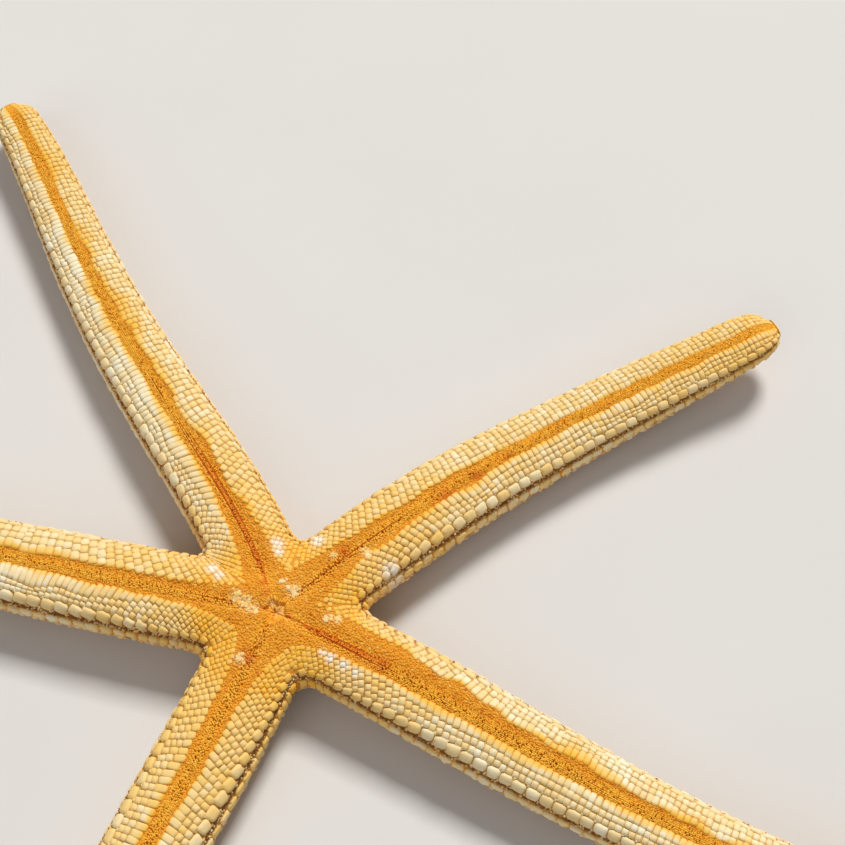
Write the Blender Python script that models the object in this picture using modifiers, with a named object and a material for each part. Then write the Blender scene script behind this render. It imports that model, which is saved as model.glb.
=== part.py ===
"""A dried finger starfish, life size, lying on its back with the mouth up.

Five finger-like arms leave a small disc. Each arm is a bent, tapering tube with a flatter mouth side,
and a furrow runs along it from the mouth to the tip. Rows of limy plates line the furrow and the two
margins, and rounder ones stand on the back. The arms bend and swell differently, as dried ones do.

Run it with: blender --background --python part.py
Lengths below are in millimetres and MM turns them into Blender's metres. +Z is up.
"""

import math
from dataclasses import dataclass

import bmesh
import bpy
import numpy as np
from mathutils import Matrix, Vector
from mathutils.bvhtree import BVHTree

MM = 0.001
GAP = 0.3


# The arms, counter-clockwise from above. A heading is in degrees from +X, at the mouth and at one, two and
# three thirds of the length. The tip curls up from the floor by the curl.
@dataclass
class Arm:
    length: float
    headings: tuple
    girth: float
    curl: float


ARMS = {
    "arm_1": Arm(length=101.0, headings=(106, 123, 117, 124), girth=0.98, curl=3.5),
    "arm_2": Arm(length=94.0, headings=(168, 167, 164, 157), girth=1.05, curl=2.5),
    "arm_3": Arm(length=91.0, headings=(-113, -117, -117, -115), girth=1.05, curl=3.0),
    "arm_4": Arm(length=97.0, headings=(-24, -30, -25, -21), girth=0.98, curl=4.0),
    "arm_5": Arm(length=85.0, headings=(42, 35, 28, 27), girth=1.02, curl=5.0),
}
HEADINGS_AT = (0.0, 1 / 3, 2 / 3, 1.0)
LENGTHS_OF_AN_ARM = ("inner", "middle", "outer")
PARTED_AT = (0.0, 0.34, 0.67, 1.0)

# The cross-section of an arm at its mouth end. Heights are shares of the half width.
HALF_WIDTH = 5.75
MOUTH_SIDE = 0.67
BACK_SIDE = 0.79
MOUTH_SQUARENESS = 2.7
BACK_SQUARENESS = 2.15

# How the half width changes along an arm: it swells a little, tapers by this share, and rounds off.
SWELLING = 0.035
SWELLS_AT = 0.3
SWELLING_REACH = 0.18
TAPER = 0.42
TAPER_POWER = 2.2
TIP_ROUNDING = 5.5
TIP_FLATTENS_TO = 0.6

FURROW_DEPTH = 0.85
FURROW_HALF_WIDTH = 1.0

# An arm's underside meets the floor at this share of its length, sunk by a little to be cut flat there.
RESTS_AT = 0.45
REST_SINK = 0.2
DISC_RISE = 1.15

# The disc ends at a cut across each arm, and its webs round off the corners between the arms.
DISC_REACH = 16.5
WEB_ROUNDING = 3.0
DISC_RINGS_AT = (0.3, 0.55, 0.75, 0.9, 1.0)
WEB_SPOKES_AT = (0.3, 0.5, 0.7)

MOUTH_RADIUS = 2.6
MOUTH_DEPTH = 1.3
MOUTH_STEPS = 20
JAW_LENGTH = 1.7
JAW_WIDTH = 1.5
JAW_HEIGHT = 0.9
JAW_SINK = 0.2

SIEVE_RADIUS = 1.5
SIEVE_DEPTH = 0.7
SIEVE_RISE = 0.2
SIEVE_BEVEL = 0.25
SIEVE_STEPS = 16
SIEVE_FROM_MOUTH = 6.0
CUTTER_PAST = 2.0


# Limy plates stand in rows along each arm. The angle says where a row lies round the arm: 0 is the widest
# line, 90 the furrow and -90 the middle of the back. Only some plates of each row are kept, at their true
# size, and the spacing is from one kept plate to the next. The shift staggers neighbouring rows.
@dataclass
class Plates:
    angle: float
    along: float
    across: float
    rise: float
    sides: int = 4
    shift: float = 0.5
    spacing: float = 5.7


FURROW_EDGE = Plates(angle=62, along=0.9, across=1.7, rise=0.30)
LOWER_MARGIN = Plates(angle=30, along=1.8, across=1.5, rise=0.40, shift=0.3)
UPPER_MARGIN = Plates(angle=-5, along=1.8, across=1.6, rise=0.45, shift=0.7, sides=6)
BACK_OUTER = Plates(angle=-36, along=1.6, across=1.5, rise=0.35, shift=0.3, spacing=7.6)
BACK_INNER = Plates(angle=-64, along=1.7, across=1.5, rise=0.35, shift=0.7, spacing=7.6)
DISC_BACK = Plates(angle=-90, along=1.6, across=1.5, rise=0.35, sides=6)
TIP_PLATE = Plates(angle=-35, along=2.4, across=2.2, rise=0.40, sides=6)
ARM_ROWS = (FURROW_EDGE, LOWER_MARGIN, UPPER_MARGIN, BACK_OUTER, BACK_INNER)
WEB_ROWS = (LOWER_MARGIN, UPPER_MARGIN, BACK_OUTER)
PLATE_ROOT = 0.6
PLATE_TOP = 0.65
PLATE_SHRINK = 0.2
ROWS_END = 3.2
DISC_FURROW_AT = 14.0
DISC_BACK_AT = (3.6, 8.6)
WEB_RAYS_FROM = 6.0

# How finely curves are followed.
RING_SPACING = 7.5
TIP_RING_ANGLES = (25, 50, 72)
AXIS_STEP = 0.5
EDGE_STEP = 0.05
JUST_INSIDE = 0.995

COLOURS = {
    "disc": ((0.80, 0.42, 0.12), 0.75),
    "mouth": ((0.72, 0.33, 0.08), 0.80),
    "madreporite": ((0.86, 0.66, 0.38), 0.75),
    "arm": ((0.86, 0.66, 0.36), 0.72),
}


# How the arms run and how thick they are
def axis_of(arm):
    """The arm's centre line in plan: the distance of each sample along it, its place and its heading."""
    bend = np.polyfit(np.array(HEADINGS_AT) * arm.length, np.radians(arm.headings), 3)
    along = np.arange(0.0, arm.length + AXIS_STEP, AXIS_STEP)
    heading = np.polyval(bend, along)
    middle = (heading[1:] + heading[:-1]) / 2
    steps = np.stack([np.cos(middle), np.sin(middle)], axis=1) * AXIS_STEP
    places = np.vstack([[0.0, 0.0], np.cumsum(steps, axis=0)])
    return along, places, heading


AXES = {name: axis_of(arm) for name, arm in ARMS.items()}


def on_axis(name, s):
    """The centre line's place, its direction and the direction across it, at s from the mouth."""
    along, places, heading = AXES[name]
    place = np.array([np.interp(s, along, places[:, i]) for i in (0, 1)])
    turn = np.interp(s, along, heading)
    ahead = np.array([math.cos(turn), math.sin(turn)])
    return place, ahead, np.array([-ahead[1], ahead[0]])


def half_width(name, s):
    arm = ARMS[name]
    share = s / arm.length
    swelling = SWELLING * math.exp(-(((share - SWELLS_AT) / SWELLING_REACH) ** 2))
    width = HALF_WIDTH * arm.girth * (1 + swelling - TAPER * share**TAPER_POWER)
    to_tip = max(arm.length - s, 0.0)
    if to_tip < TIP_ROUNDING:
        width *= math.sqrt(1 - (1 - to_tip / TIP_ROUNDING) ** 2)
    return width


def underside(name, s):
    """Height of the arm's lowest line. It dips a little under the floor, where it is cut flat."""
    arm = ARMS[name]
    share = s / arm.length
    if share < RESTS_AT:
        rise = DISC_RISE * ((RESTS_AT - share) / RESTS_AT) ** 2
    else:
        rise = arm.curl * ((share - RESTS_AT) / (1 - RESTS_AT)) ** 2
    return rise - REST_SINK


def girdle_height(name, s):
    """Height of the arm's widest line, between its mouth side and its back."""
    rounding_starts = half_width(name, ARMS[name].length - TIP_ROUNDING)
    return underside(name, s) + BACK_SIDE * max(half_width(name, s), TIP_FLATTENS_TO * rounding_starts)


def on_girdle(name, s):
    """The middle of the arm's section, level with its widest line."""
    return (*on_axis(name, s)[0], girdle_height(name, s))


def swell(q, power):
    """Height of a squarish oval at the share q of its half width, from 1 in the middle to 0 at the edge."""
    return (1 - min(abs(q), 1.0) ** power) ** (1 / power)


def furrow(name, s, t):
    """How deep the furrow is at t across the arm. It fades out at the tip."""
    fade = min(1.0, (ARMS[name].length - s) / (2 * TIP_ROUNDING))
    return FURROW_DEPTH * fade * max(0.0, 1 - abs(t) / FURROW_HALF_WIDTH)


# Meshes
def new_object(name, mesh, collection):
    obj = bpy.data.objects.new(name, mesh)
    collection.objects.link(obj)
    return obj


def mesh_from(name, bm):
    bmesh.ops.recalc_face_normals(bm, faces=bm.faces)
    mesh = bpy.data.meshes.new(name)
    bm.to_mesh(mesh)
    bm.free()
    return mesh


def bridge(bm, first, second):
    """Quads between two rings that have as many vertices."""
    for i in range(len(first)):
        j = (i + 1) % len(first)
        bm.faces.new((first[i], first[j], second[j], second[i]))


def turned(name, profile, steps, collection):
    """A turned solid about its own Z axis, from (radius, height) pairs that run from the top down."""
    mesh = bpy.data.meshes.new(name)
    points = [(r * MM, 0, z * MM) for r, z in profile]
    mesh.from_pydata(points, [(i, i + 1) for i in range(len(points) - 1)], [])
    obj = new_object(name, mesh, collection)
    screw = obj.modifiers.new("turn", "SCREW")
    screw.steps = screw.render_steps = steps
    screw.use_merge_vertices = True
    screw.merge_threshold = 0.00001
    settle(obj)
    return obj


# Cutting and joining
def settle(obj):
    """Applies the object's modifiers and keeps its largest closed surface."""
    graph = bpy.context.evaluated_depsgraph_get()
    mesh = bpy.data.meshes.new_from_object(obj.evaluated_get(graph))
    obj.modifiers.clear()
    obj.data = mesh
    bm = bmesh.new()
    bm.from_mesh(mesh)
    left = set(bm.verts)
    bodies = []
    while left:
        body = {left.pop()}
        edge = set(body)
        while edge:
            edge = {e.other_vert(v) for v in edge for e in v.link_edges} - body
            body |= edge
        left -= body
        bodies.append(body)
    largest = max(bodies, key=len)
    bmesh.ops.delete(bm, geom=[v for v in bm.verts if v not in largest], context="VERTS")
    bm.to_mesh(mesh)
    bm.free()


def cut(obj, cutter):
    cutter.hide_render = True
    cutter.display_type = "WIRE"
    modifier = obj.modifiers.new("cut", "BOOLEAN")
    modifier.operation = "DIFFERENCE"
    modifier.object = cutter
    bpy.context.view_layer.update()
    settle(obj)
    bpy.data.objects.remove(cutter)


def join(obj, pieces):
    """Fuses closed pieces to the object in one union, and removes them."""
    collection = bpy.data.collections.new("pieces")
    bpy.context.scene.collection.children.link(collection)
    for piece in pieces:
        collection.objects.link(piece)
    modifier = obj.modifiers.new("join", "BOOLEAN")
    modifier.operation = "UNION"
    modifier.operand_type = "COLLECTION"
    modifier.collection = collection
    bpy.context.view_layer.update()
    settle(obj)
    for piece in pieces:
        bpy.data.objects.remove(piece)
    bpy.data.collections.remove(collection)


def cut_flat_at_floor(obj):
    """Takes off what dips under the floor, which leaves the small flat that the piece rests on."""
    bm = bmesh.new()
    bm.from_mesh(obj.data)
    everything = list(bm.verts) + list(bm.edges) + list(bm.faces)
    sliced = bmesh.ops.bisect_plane(
        bm, geom=everything, dist=1e-7, plane_co=(0, 0, 0), plane_no=(0, 0, 1), clear_inner=True
    )
    rim = [e for e in sliced["geom_cut"] if isinstance(e, bmesh.types.BMEdge)]
    if rim:
        bmesh.ops.holes_fill(bm, edges=rim, sides=0)
    bmesh.ops.recalc_face_normals(bm, faces=bm.faces)
    bm.to_mesh(obj.data)
    bm.free()


# Plates
def plate(matrix, size, sides=4):
    """A limy plate: a block whose outer face is smaller than its root."""
    bm = bmesh.new()
    root = 0.5 / math.cos(math.pi / sides)
    top = root * PLATE_TOP
    bmesh.ops.create_cone(bm, cap_ends=True, segments=sides, radius1=root, radius2=top, depth=1.0)
    bmesh.ops.rotate(bm, cent=(0, 0, 0), matrix=Matrix.Rotation(math.pi / sides, 3, "Z"), verts=bm.verts)
    bmesh.ops.scale(bm, vec=Vector(size) * MM, verts=bm.verts)
    mesh = mesh_from("plate", bm)
    mesh.transform(matrix)
    return bpy.data.objects.new("plate", mesh)


def set_on_skin(tree, middle, outward, sideways, kind, shrink=1.0):
    """A plate where a ray from the middle leaves the skin. The ray runs outward, raised by the row's angle.

    The sides slope, so the root is wider by as much as gives the plate its true size at the skin.
    """
    tilt = math.radians(kind.angle)
    direction = Vector((*outward, 0)) * math.cos(tilt) + Vector((0, 0, math.sin(tilt)))
    spot, normal, _, _ = tree.ray_cast(Vector(middle) * MM, direction)
    along = Vector((*sideways, 0))
    along = (along - normal * along.dot(normal)).normalized()
    turn = Matrix((along, normal.cross(along), normal)).transposed().to_4x4()
    height = kind.rise + PLATE_ROOT
    spread = shrink / (1 - (1 - PLATE_TOP) * PLATE_ROOT / height)
    sunk = Matrix.Translation(spot + normal * ((kind.rise - PLATE_ROOT) / 2 * MM))
    return plate(sunk @ turn, (kind.along * spread, kind.across * spread, height), kind.sides)


def set_on_arm(tree, name, s, side, kind):
    """A plate of one of the rows, on one side of an arm. Plates get smaller as the arm gets thinner."""
    _, ahead, across = on_axis(name, s)
    shrink = min(1.0, PLATE_SHRINK + half_width(name, s) / HALF_WIDTH)
    return set_on_skin(tree, on_girdle(name, s), across * side, ahead, kind, shrink)


def skin_tree(obj):
    return BVHTree.FromObject(obj, bpy.context.evaluated_depsgraph_get())


def arm_plates(obj, name, start, end):
    """The plates of one length of an arm, row by row on both sides, and the single plate at its tip."""
    tree = skin_tree(obj)
    length = ARMS[name].length
    rows_end = min(end, length - ROWS_END)
    plates = []
    for kind in ARM_ROWS:
        count = max(1, round((rows_end - start) / kind.spacing))
        for i in range(count):
            s = start + (i + kind.shift) * (rows_end - start) / count
            plates += [set_on_arm(tree, name, s, side, kind) for side in (-1, 1)]
    if end >= length:
        s = length - TIP_ROUNDING
        _, ahead, across = on_axis(name, s)
        plates.append(set_on_skin(tree, on_girdle(name, s), ahead, across, TIP_PLATE))
    return plates


def web_angles():
    """Directions from the mouth that lie half way between two arms."""
    bases = [math.radians(arm.headings[0]) for arm in ARMS.values()]
    return [a + ((b - a) % (2 * math.pi)) / 2 for a, b in zip(bases, bases[1:] + bases[:1])]


def disc_plates(disc):
    """The disc's plates: in its webs, beside the furrows where they start, and on its back."""
    tree = skin_tree(disc)
    plates = []
    for angle in web_angles():
        outward = np.array([math.cos(angle), math.sin(angle)])
        sideways = (-outward[1], outward[0])
        middle = (*(outward * WEB_RAYS_FROM), girdle_height("arm_1", 0))
        plates += [set_on_skin(tree, middle, outward, sideways, kind) for kind in WEB_ROWS]
    for name in ARMS:
        plates += [set_on_arm(tree, name, DISC_FURROW_AT, side, FURROW_EDGE) for side in (-1, 1)]
        plates += [set_on_arm(tree, name, s, 1, DISC_BACK) for s in DISC_BACK_AT]
    return plates


# The arms
def ring_shape(width):
    """One round of an arm's skin: pairs of the share across it and +1 on the mouth side, -1 on the back."""
    lip = FURROW_HALF_WIDTH / max(width, 2 * FURROW_HALF_WIDTH)
    mouth_side = [-0.93, -0.7, -lip, 0.0, lip, 0.7, 0.93]
    back = [1.0, 0.88, 0.48, 0.0, -0.48, -0.88, -1.0]
    return [(q, 1) for q in mouth_side] + [(q, -1) for q in back]


def skin_point(name, s, q, face):
    """A point of the arm's skin, at s from the mouth and at the share q of its half width."""
    width = half_width(name, s)
    place, _, across = on_axis(name, s)
    x, y = place + across * q * width
    if face > 0:
        z = MOUTH_SIDE * width * swell(q, MOUTH_SQUARENESS) - furrow(name, s, q * width)
    else:
        z = -BACK_SIDE * width * swell(q, BACK_SQUARENESS)
    return Vector((x, y, girdle_height(name, s) + z)) * MM


def arm_solid(name, node, start, end, collection):
    """A length of an arm: rings of its skin, joined one to the next, and closed at both ends."""
    length = ARMS[name].length
    count = round((end - start) / RING_SPACING)
    stations = list(np.linspace(start, end, count + 1))
    if end >= length:
        straight = length - TIP_ROUNDING
        rounded = [straight + TIP_ROUNDING * math.sin(math.radians(a)) for a in TIP_RING_ANGLES]
        stations = [s for s in stations if s < straight] + [straight] + rounded
    bm = bmesh.new()
    rings = []
    for s in stations:
        shape = ring_shape(half_width(name, s))
        rings.append([bm.verts.new(skin_point(name, s, q, face)) for q, face in shape])
    for first, second in zip(rings, rings[1:]):
        bridge(bm, first, second)
    bm.faces.new(rings[0])
    bm.faces.new(rings[-1])
    return new_object(node, mesh_from(node, bm), collection)


# The disc, where the five arms run together
def arm_coordinates(x, y):
    """For each arm, how far along it, across it and off its centre line a point near the mouth lies."""
    found = {}
    for name, (along, places, heading) in AXES.items():
        offsets = (np.array([x, y]) - places)[along < 2 * DISC_REACH]
        nearest = int(np.argmin((offsets**2).sum(axis=1)))
        offset, turn = offsets[nearest], heading[nearest]
        ahead = math.cos(turn) * offset[0] + math.sin(turn) * offset[1]
        across = math.cos(turn) * offset[1] - math.sin(turn) * offset[0]
        off_axis = abs(across) if nearest else math.hypot(ahead, across)
        found[name] = (along[nearest] + ahead, across, off_axis)
    return found


def blended(edges):
    """The smallest of the distances to the arms' edges, rounded where two are alike, as in the webs."""
    least = math.inf
    for edge in sorted(edges):
        mix = max(WEB_ROUNDING - abs(least - edge), 0.0) / WEB_ROUNDING
        least = min(least, edge) - mix * mix * WEB_ROUNDING / 4
    return least


def disc_heights(x, y):
    """Heights of the disc's mouth side and back at a point, or None outside its outline."""
    here = arm_coordinates(x, y)
    widths = {name: half_width(name, max(s, 0.0)) for name, (s, _, _) in here.items()}
    edges = {name: off_axis - widths[name] for name, (_, _, off_axis) in here.items()}
    edge = blended(edges.values())
    if edge > 0:
        return None
    nearest = min(edges.values())
    weights = {name: max(0.0, 1 - (e - nearest) / WEB_ROUNDING) for name, e in edges.items()}
    total = sum(weights.values())
    width = sum(weight * widths[name] for name, weight in weights.items()) / total
    girdles = {name: girdle_height(name, max(here[name][0], 0.0)) for name in here}
    girdle = sum(weight * girdles[name] for name, weight in weights.items()) / total
    dips = [furrow(name, s, t) for name, (s, t, off) in here.items() if s > 0 or off < FURROW_HALF_WIDTH]
    q = max(0.0, 1 + edge / width)
    top = girdle + MOUTH_SIDE * width * swell(q, MOUTH_SQUARENESS) - max(dips)
    return top, girdle - BACK_SIDE * width * swell(q, BACK_SQUARENESS)


def disc_edge(angle):
    """How far the disc reaches at this angle: to the cut across an arm, or to a web."""
    direction = np.array([math.cos(angle), math.sin(angle)])
    for name in ARMS:
        place, ahead, across = on_axis(name, DISC_REACH - GAP / 2)
        if ahead @ direction > 0:
            to_cut = (ahead @ place) / (ahead @ direction)
            if abs((direction * to_cut - place) @ across) < half_width(name, DISC_REACH):
                return to_cut
    reach = 0.0
    while disc_heights(*(direction * (reach + EDGE_STEP))) is not None:
        reach += EDGE_STEP
    return reach


def disc_spokes():
    """Directions from the mouth that meet the cuts' corners, the furrows and the webs."""
    spokes = []
    corners = []
    for name in ARMS:
        place, _, across = on_axis(name, DISC_REACH - GAP / 2)
        width = half_width(name, DISC_REACH)
        lip = FURROW_HALF_WIDTH / width
        for q in (-JUST_INSIDE, -0.7, -lip, 0.0, lip, 0.7, JUST_INSIDE):
            x, y = place + across * q * width
            spokes.append(math.atan2(y, x))
        corners += [spokes[-7], spokes[-1]]
    for last, following in zip(corners[1::2], corners[2::2] + corners[:1]):
        turn = (following - last) % (2 * math.pi)
        spokes += [last + turn * share for share in WEB_SPOKES_AT]
    return sorted(angle % (2 * math.pi) for angle in spokes)


def disc_solid(collection):
    """The disc: one sheet of skin for the mouth side and one for the back, joined by a narrow rim."""
    bm = bmesh.new()
    spokes = disc_spokes()
    reaches = [disc_edge(angle) for angle in spokes]
    rims = []
    for face, half_rim in ((0, GAP / 2), (1, -GAP / 2)):
        middle = bm.verts.new(Vector((0, 0, disc_heights(0, 0)[face])) * MM)
        rings = []
        for share in DISC_RINGS_AT:
            ring = []
            for angle, reach in zip(spokes, reaches):
                x, y = math.cos(angle) * reach * share, math.sin(angle) * reach * share
                z = disc_heights(x * JUST_INSIDE, y * JUST_INSIDE)[face]
                if share == 1.0:
                    z += half_rim
                ring.append(bm.verts.new(Vector((x, y, z)) * MM))
            rings.append(ring)
        for i in range(len(spokes)):
            bm.faces.new((middle, rings[0][i], rings[0][(i + 1) % len(spokes)]))
        for first, second in zip(rings, rings[1:]):
            bridge(bm, first, second)
        rims.append(rings[-1])
    bridge(bm, *rims)
    return new_object("disc", mesh_from("disc", bm), collection)


# The mouth and the sieve plate, each set in a pocket of the disc
def mouth_solid(disc, collection, cutters):
    """The ring of five jaws that closes the mouth."""
    crown = disc_heights(MOUTH_RADIUS, 0)[0]
    rim = crown + CUTTER_PAST
    depth = crown - MOUTH_DEPTH
    pocket_profile = [(0, rim), (MOUTH_RADIUS, rim), (MOUTH_RADIUS, depth), (0, depth)]
    cut(disc, turned("mouth_pocket", pocket_profile, MOUTH_STEPS, cutters))
    radius = MOUTH_RADIUS - GAP
    bowl = [(0, crown - 0.5), (radius * 0.5, crown - 0.25), (radius * 0.85, crown - 0.1)]
    bowl += [(radius, crown - 0.35), (radius, depth + GAP), (0, depth + GAP)]
    mouth = turned("mouth", bowl, MOUTH_STEPS, collection)
    jaws = []
    for angle in web_angles():
        place = Vector((math.cos(angle), math.sin(angle), 0)) * (radius / 2)
        place.z = crown - JAW_SINK
        turn = Matrix.Translation(place * MM) @ Matrix.Rotation(angle, 4, "Z")
        jaws.append(plate(turn, (JAW_LENGTH, JAW_WIDTH, JAW_HEIGHT)))
    join(mouth, jaws)
    return mouth


def sieve_solid(disc, collection, cutters):
    """The madreporite, the sieve plate on the back between the first two arms."""
    angle = web_angles()[0]
    x, y = math.cos(angle) * SIEVE_FROM_MOUTH, math.sin(angle) * SIEVE_FROM_MOUTH
    skin = disc_heights(x, y)[1]
    deep = skin + SIEVE_DEPTH
    low = skin - CUTTER_PAST
    wide = SIEVE_RADIUS + GAP
    pocket = turned("sieve_pocket", [(0, deep), (wide, deep), (wide, low), (0, low)], SIEVE_STEPS, cutters)
    pocket.location = (x * MM, y * MM, 0)
    cut(disc, pocket)
    proud = skin - SIEVE_RISE
    profile = [(0, deep - GAP), (SIEVE_RADIUS, deep - GAP), (SIEVE_RADIUS, proud + SIEVE_BEVEL)]
    profile += [(SIEVE_RADIUS - SIEVE_BEVEL, proud), (0, proud)]
    sieve = turned("madreporite", profile, SIEVE_STEPS, collection)
    sieve.location = (x * MM, y * MM, 0)
    return sieve


# The whole starfish
def finish(obj, kind):
    colour, roughness = COLOURS[kind]
    material = bpy.data.materials.new(obj.name)
    material.use_nodes = True
    shader = material.node_tree.nodes["Principled BSDF"]
    shader.inputs["Base Color"].default_value = (*colour, 1.0)
    shader.inputs["Roughness"].default_value = roughness
    obj.data.materials.clear()
    obj.data.materials.append(material)


def centre_over_origin(objects):
    """Moves the starfish so that its box stands on the origin."""
    bpy.context.view_layer.update()
    corners = np.array([obj.matrix_world @ v.co for obj in objects for v in obj.data.vertices])
    middle = (corners.min(axis=0) + corners.max(axis=0)) / 2
    for obj in objects:
        obj.location.x -= middle[0]
        obj.location.y -= middle[1]


def disc_nodes(collection, cutters):
    disc = disc_solid(collection)
    mouth = mouth_solid(disc, collection, cutters)
    sieve = sieve_solid(disc, collection, cutters)
    join(disc, disc_plates(disc))
    for obj in (disc, mouth, sieve):
        finish(obj, obj.name)
    return [disc, mouth, sieve]


def arm_nodes(name, collection):
    """The arm's three lengths, parted by thin gaps."""
    length = ARMS[name].length
    parted = [max(DISC_REACH, share * length) for share in PARTED_AT]
    nodes = []
    for part, start, end in zip(LENGTHS_OF_AN_ARM, parted, parted[1:]):
        start += GAP / 2
        end -= GAP / 2 if end < length else 0
        obj = arm_solid(name, f"{name}_{part}", start, end, collection)
        join(obj, arm_plates(obj, name, start, end))
        cut_flat_at_floor(obj)
        finish(obj, "arm")
        nodes.append(obj)
    return nodes


def main():
    for obj in list(bpy.data.objects):
        bpy.data.objects.remove(obj)
    starfish = bpy.data.collections.new("finger_starfish")
    cutters = bpy.data.collections.new("cutters")
    for collection in (starfish, cutters):
        bpy.context.scene.collection.children.link(collection)
    nodes = disc_nodes(starfish, cutters)
    for name in ARMS:
        nodes += arm_nodes(name, starfish)
    bpy.data.collections.remove(cutters)
    centre_over_origin(nodes)


main()
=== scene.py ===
# %% [markdown]
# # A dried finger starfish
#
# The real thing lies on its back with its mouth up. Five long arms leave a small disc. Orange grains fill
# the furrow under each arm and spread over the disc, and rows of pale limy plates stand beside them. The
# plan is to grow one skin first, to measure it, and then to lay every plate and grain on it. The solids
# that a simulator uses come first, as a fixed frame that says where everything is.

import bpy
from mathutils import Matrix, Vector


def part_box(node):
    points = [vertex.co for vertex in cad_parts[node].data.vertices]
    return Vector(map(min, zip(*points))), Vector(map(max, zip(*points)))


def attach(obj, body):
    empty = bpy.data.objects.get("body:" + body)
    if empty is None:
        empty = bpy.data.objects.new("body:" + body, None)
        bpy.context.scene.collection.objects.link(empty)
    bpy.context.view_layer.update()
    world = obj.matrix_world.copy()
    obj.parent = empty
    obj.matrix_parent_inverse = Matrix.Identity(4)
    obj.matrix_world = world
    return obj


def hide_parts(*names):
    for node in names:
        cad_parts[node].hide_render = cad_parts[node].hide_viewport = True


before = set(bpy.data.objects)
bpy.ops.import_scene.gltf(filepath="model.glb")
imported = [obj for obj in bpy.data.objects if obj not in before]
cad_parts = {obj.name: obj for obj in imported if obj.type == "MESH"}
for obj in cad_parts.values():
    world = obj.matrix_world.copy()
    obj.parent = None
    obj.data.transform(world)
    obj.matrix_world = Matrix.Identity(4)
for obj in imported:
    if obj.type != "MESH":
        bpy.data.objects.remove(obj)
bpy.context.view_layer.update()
print("solids:", ", ".join(sorted(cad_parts)))

# %% Bring in the tools
import math

import bpy
import numpy as np
from mathutils import Vector
from mathutils.bvhtree import BVHTree
from mathutils.kdtree import KDTree

rng = np.random.default_rng(seed=27)
MM = 0.001
low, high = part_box("mouth")
MOUTH = np.array([(low.x + high.x) / 2, (low.y + high.y) / 2, 0.0])
print("the mouth's axis is at", MOUTH.round(5), "m")


def to_frame(points):
    """Millimetres from the mouth's axis and the floor, as metres in the frame."""
    return np.asarray(points) * MM + MOUTH


# %% [markdown]
# ## How the arms run
#
# A dried arm bends and tapers. It is easiest to describe it by a line on the floor, the heading of that
# line at a few places, and a width that changes along it. These are the same numbers that the solids were
# made from, so skin and solids agree without any fitting. All lengths from here on are in millimetres.

# %% Name the sizes of an arm
HALF_WIDTH = 5.75
MOUTH_SIDE, BACK_SIDE = 0.67, 0.79  # how far each stands out from the widest line, over the half width
MOUTH_SQUARENESS, BACK_SQUARENESS = 2.7, 2.15  # 2 is a plain oval
SWELLING, SWELLS_AT, SWELLING_REACH = 0.035, 0.3, 0.18
TAPER, TAPER_POWER = 0.42, 2.2
TIP_ROUNDING, TIP_FLATTENS_TO = 5.5, 0.6
FURROW_DEPTH, FURROW_HALF_WIDTH = 0.85, 1.0
RESTS_AT, REST_SINK, DISC_RISE = 0.45, 0.2, 1.15
HEADINGS_AT = (0.0, 1 / 3, 2 / 3, 1.0)
AXIS_STEP = 0.5
print("an arm of usual girth is about", 2 * HALF_WIDTH, "mm wide where it leaves the disc")


# %% Describe an arm
class Arm:
    """An arm's line on the floor, and its thickness at any distance s from the mouth."""

    def __init__(self, name, length, headings, girth, curl):
        self.name, self.length, self.girth, self.curl = name, length, girth, curl
        bend = np.polyfit(np.array(HEADINGS_AT) * length, np.radians(headings), 3)
        self.along = np.arange(0.0, length + AXIS_STEP, AXIS_STEP)
        self.heading = np.polyval(bend, self.along)
        middle = (self.heading[1:] + self.heading[:-1]) / 2
        steps = np.stack([np.cos(middle), np.sin(middle)], axis=1) * AXIS_STEP
        self.places = np.vstack([[0.0, 0.0], np.cumsum(steps, axis=0)])

    def line(self, s):
        """The place on the floor and the heading, in radians."""
        place = np.stack([np.interp(s, self.along, self.places[:, i]) for i in (0, 1)], axis=-1)
        return place, np.interp(s, self.along, self.heading)

    def half_width(self, s):
        share = np.clip(s, 0.0, None) / self.length
        swelling = SWELLING * np.exp(-(((share - SWELLS_AT) / SWELLING_REACH) ** 2))
        width = HALF_WIDTH * self.girth * (1 + swelling - TAPER * share**TAPER_POWER)
        to_tip = np.clip((self.length - s) / TIP_ROUNDING, 0.0, 1.0)
        return width * np.sqrt(1 - (1 - to_tip) ** 2)

    def girdle(self, s):
        """The height of the widest line, between the mouth side and the back."""
        share = s / self.length
        near = DISC_RISE * (np.clip(RESTS_AT - share, 0, 1) / RESTS_AT) ** 2
        far = self.curl * (np.clip(share - RESTS_AT, 0, 1) / (1 - RESTS_AT)) ** 2
        thickest_tip = TIP_FLATTENS_TO * self.half_width(self.length - TIP_ROUNDING)
        return near + far - REST_SINK + BACK_SIDE * np.maximum(self.half_width(s), thickest_tip)

    def furrow(self, s, t):
        """How deep the furrow is at t across the arm."""
        fade = np.clip((self.length - s) / (2 * TIP_ROUNDING), 0, 1)
        return FURROW_DEPTH * fade * np.clip(1 - np.abs(t) / FURROW_HALF_WIDTH, 0, 1)


def swell(q, power):
    """Height of a squarish oval at the share q of its half width, from 1 in the middle to 0 at the edge."""
    return (1 - np.clip(np.abs(q), 0, 1) ** power) ** (1 / power)


# %% Name the five arms, counter-clockwise from the upper left
ARMS = [
    Arm("arm_1", 101.0, (106, 123, 117, 124), 0.98, 3.5),
    Arm("arm_2", 94.0, (168, 167, 164, 157), 1.05, 2.5),
    Arm("arm_3", 91.0, (-113, -117, -117, -115), 1.05, 3.0),
    Arm("arm_4", 97.0, (-24, -30, -25, -21), 0.98, 4.0),
    Arm("arm_5", 85.0, (42, 35, 28, 27), 1.02, 5.0),
]
for arm in ARMS:
    print(arm.name, "is", arm.length, "mm long and", round(2 * float(arm.half_width(30.0)), 1), "mm wide")

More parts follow.
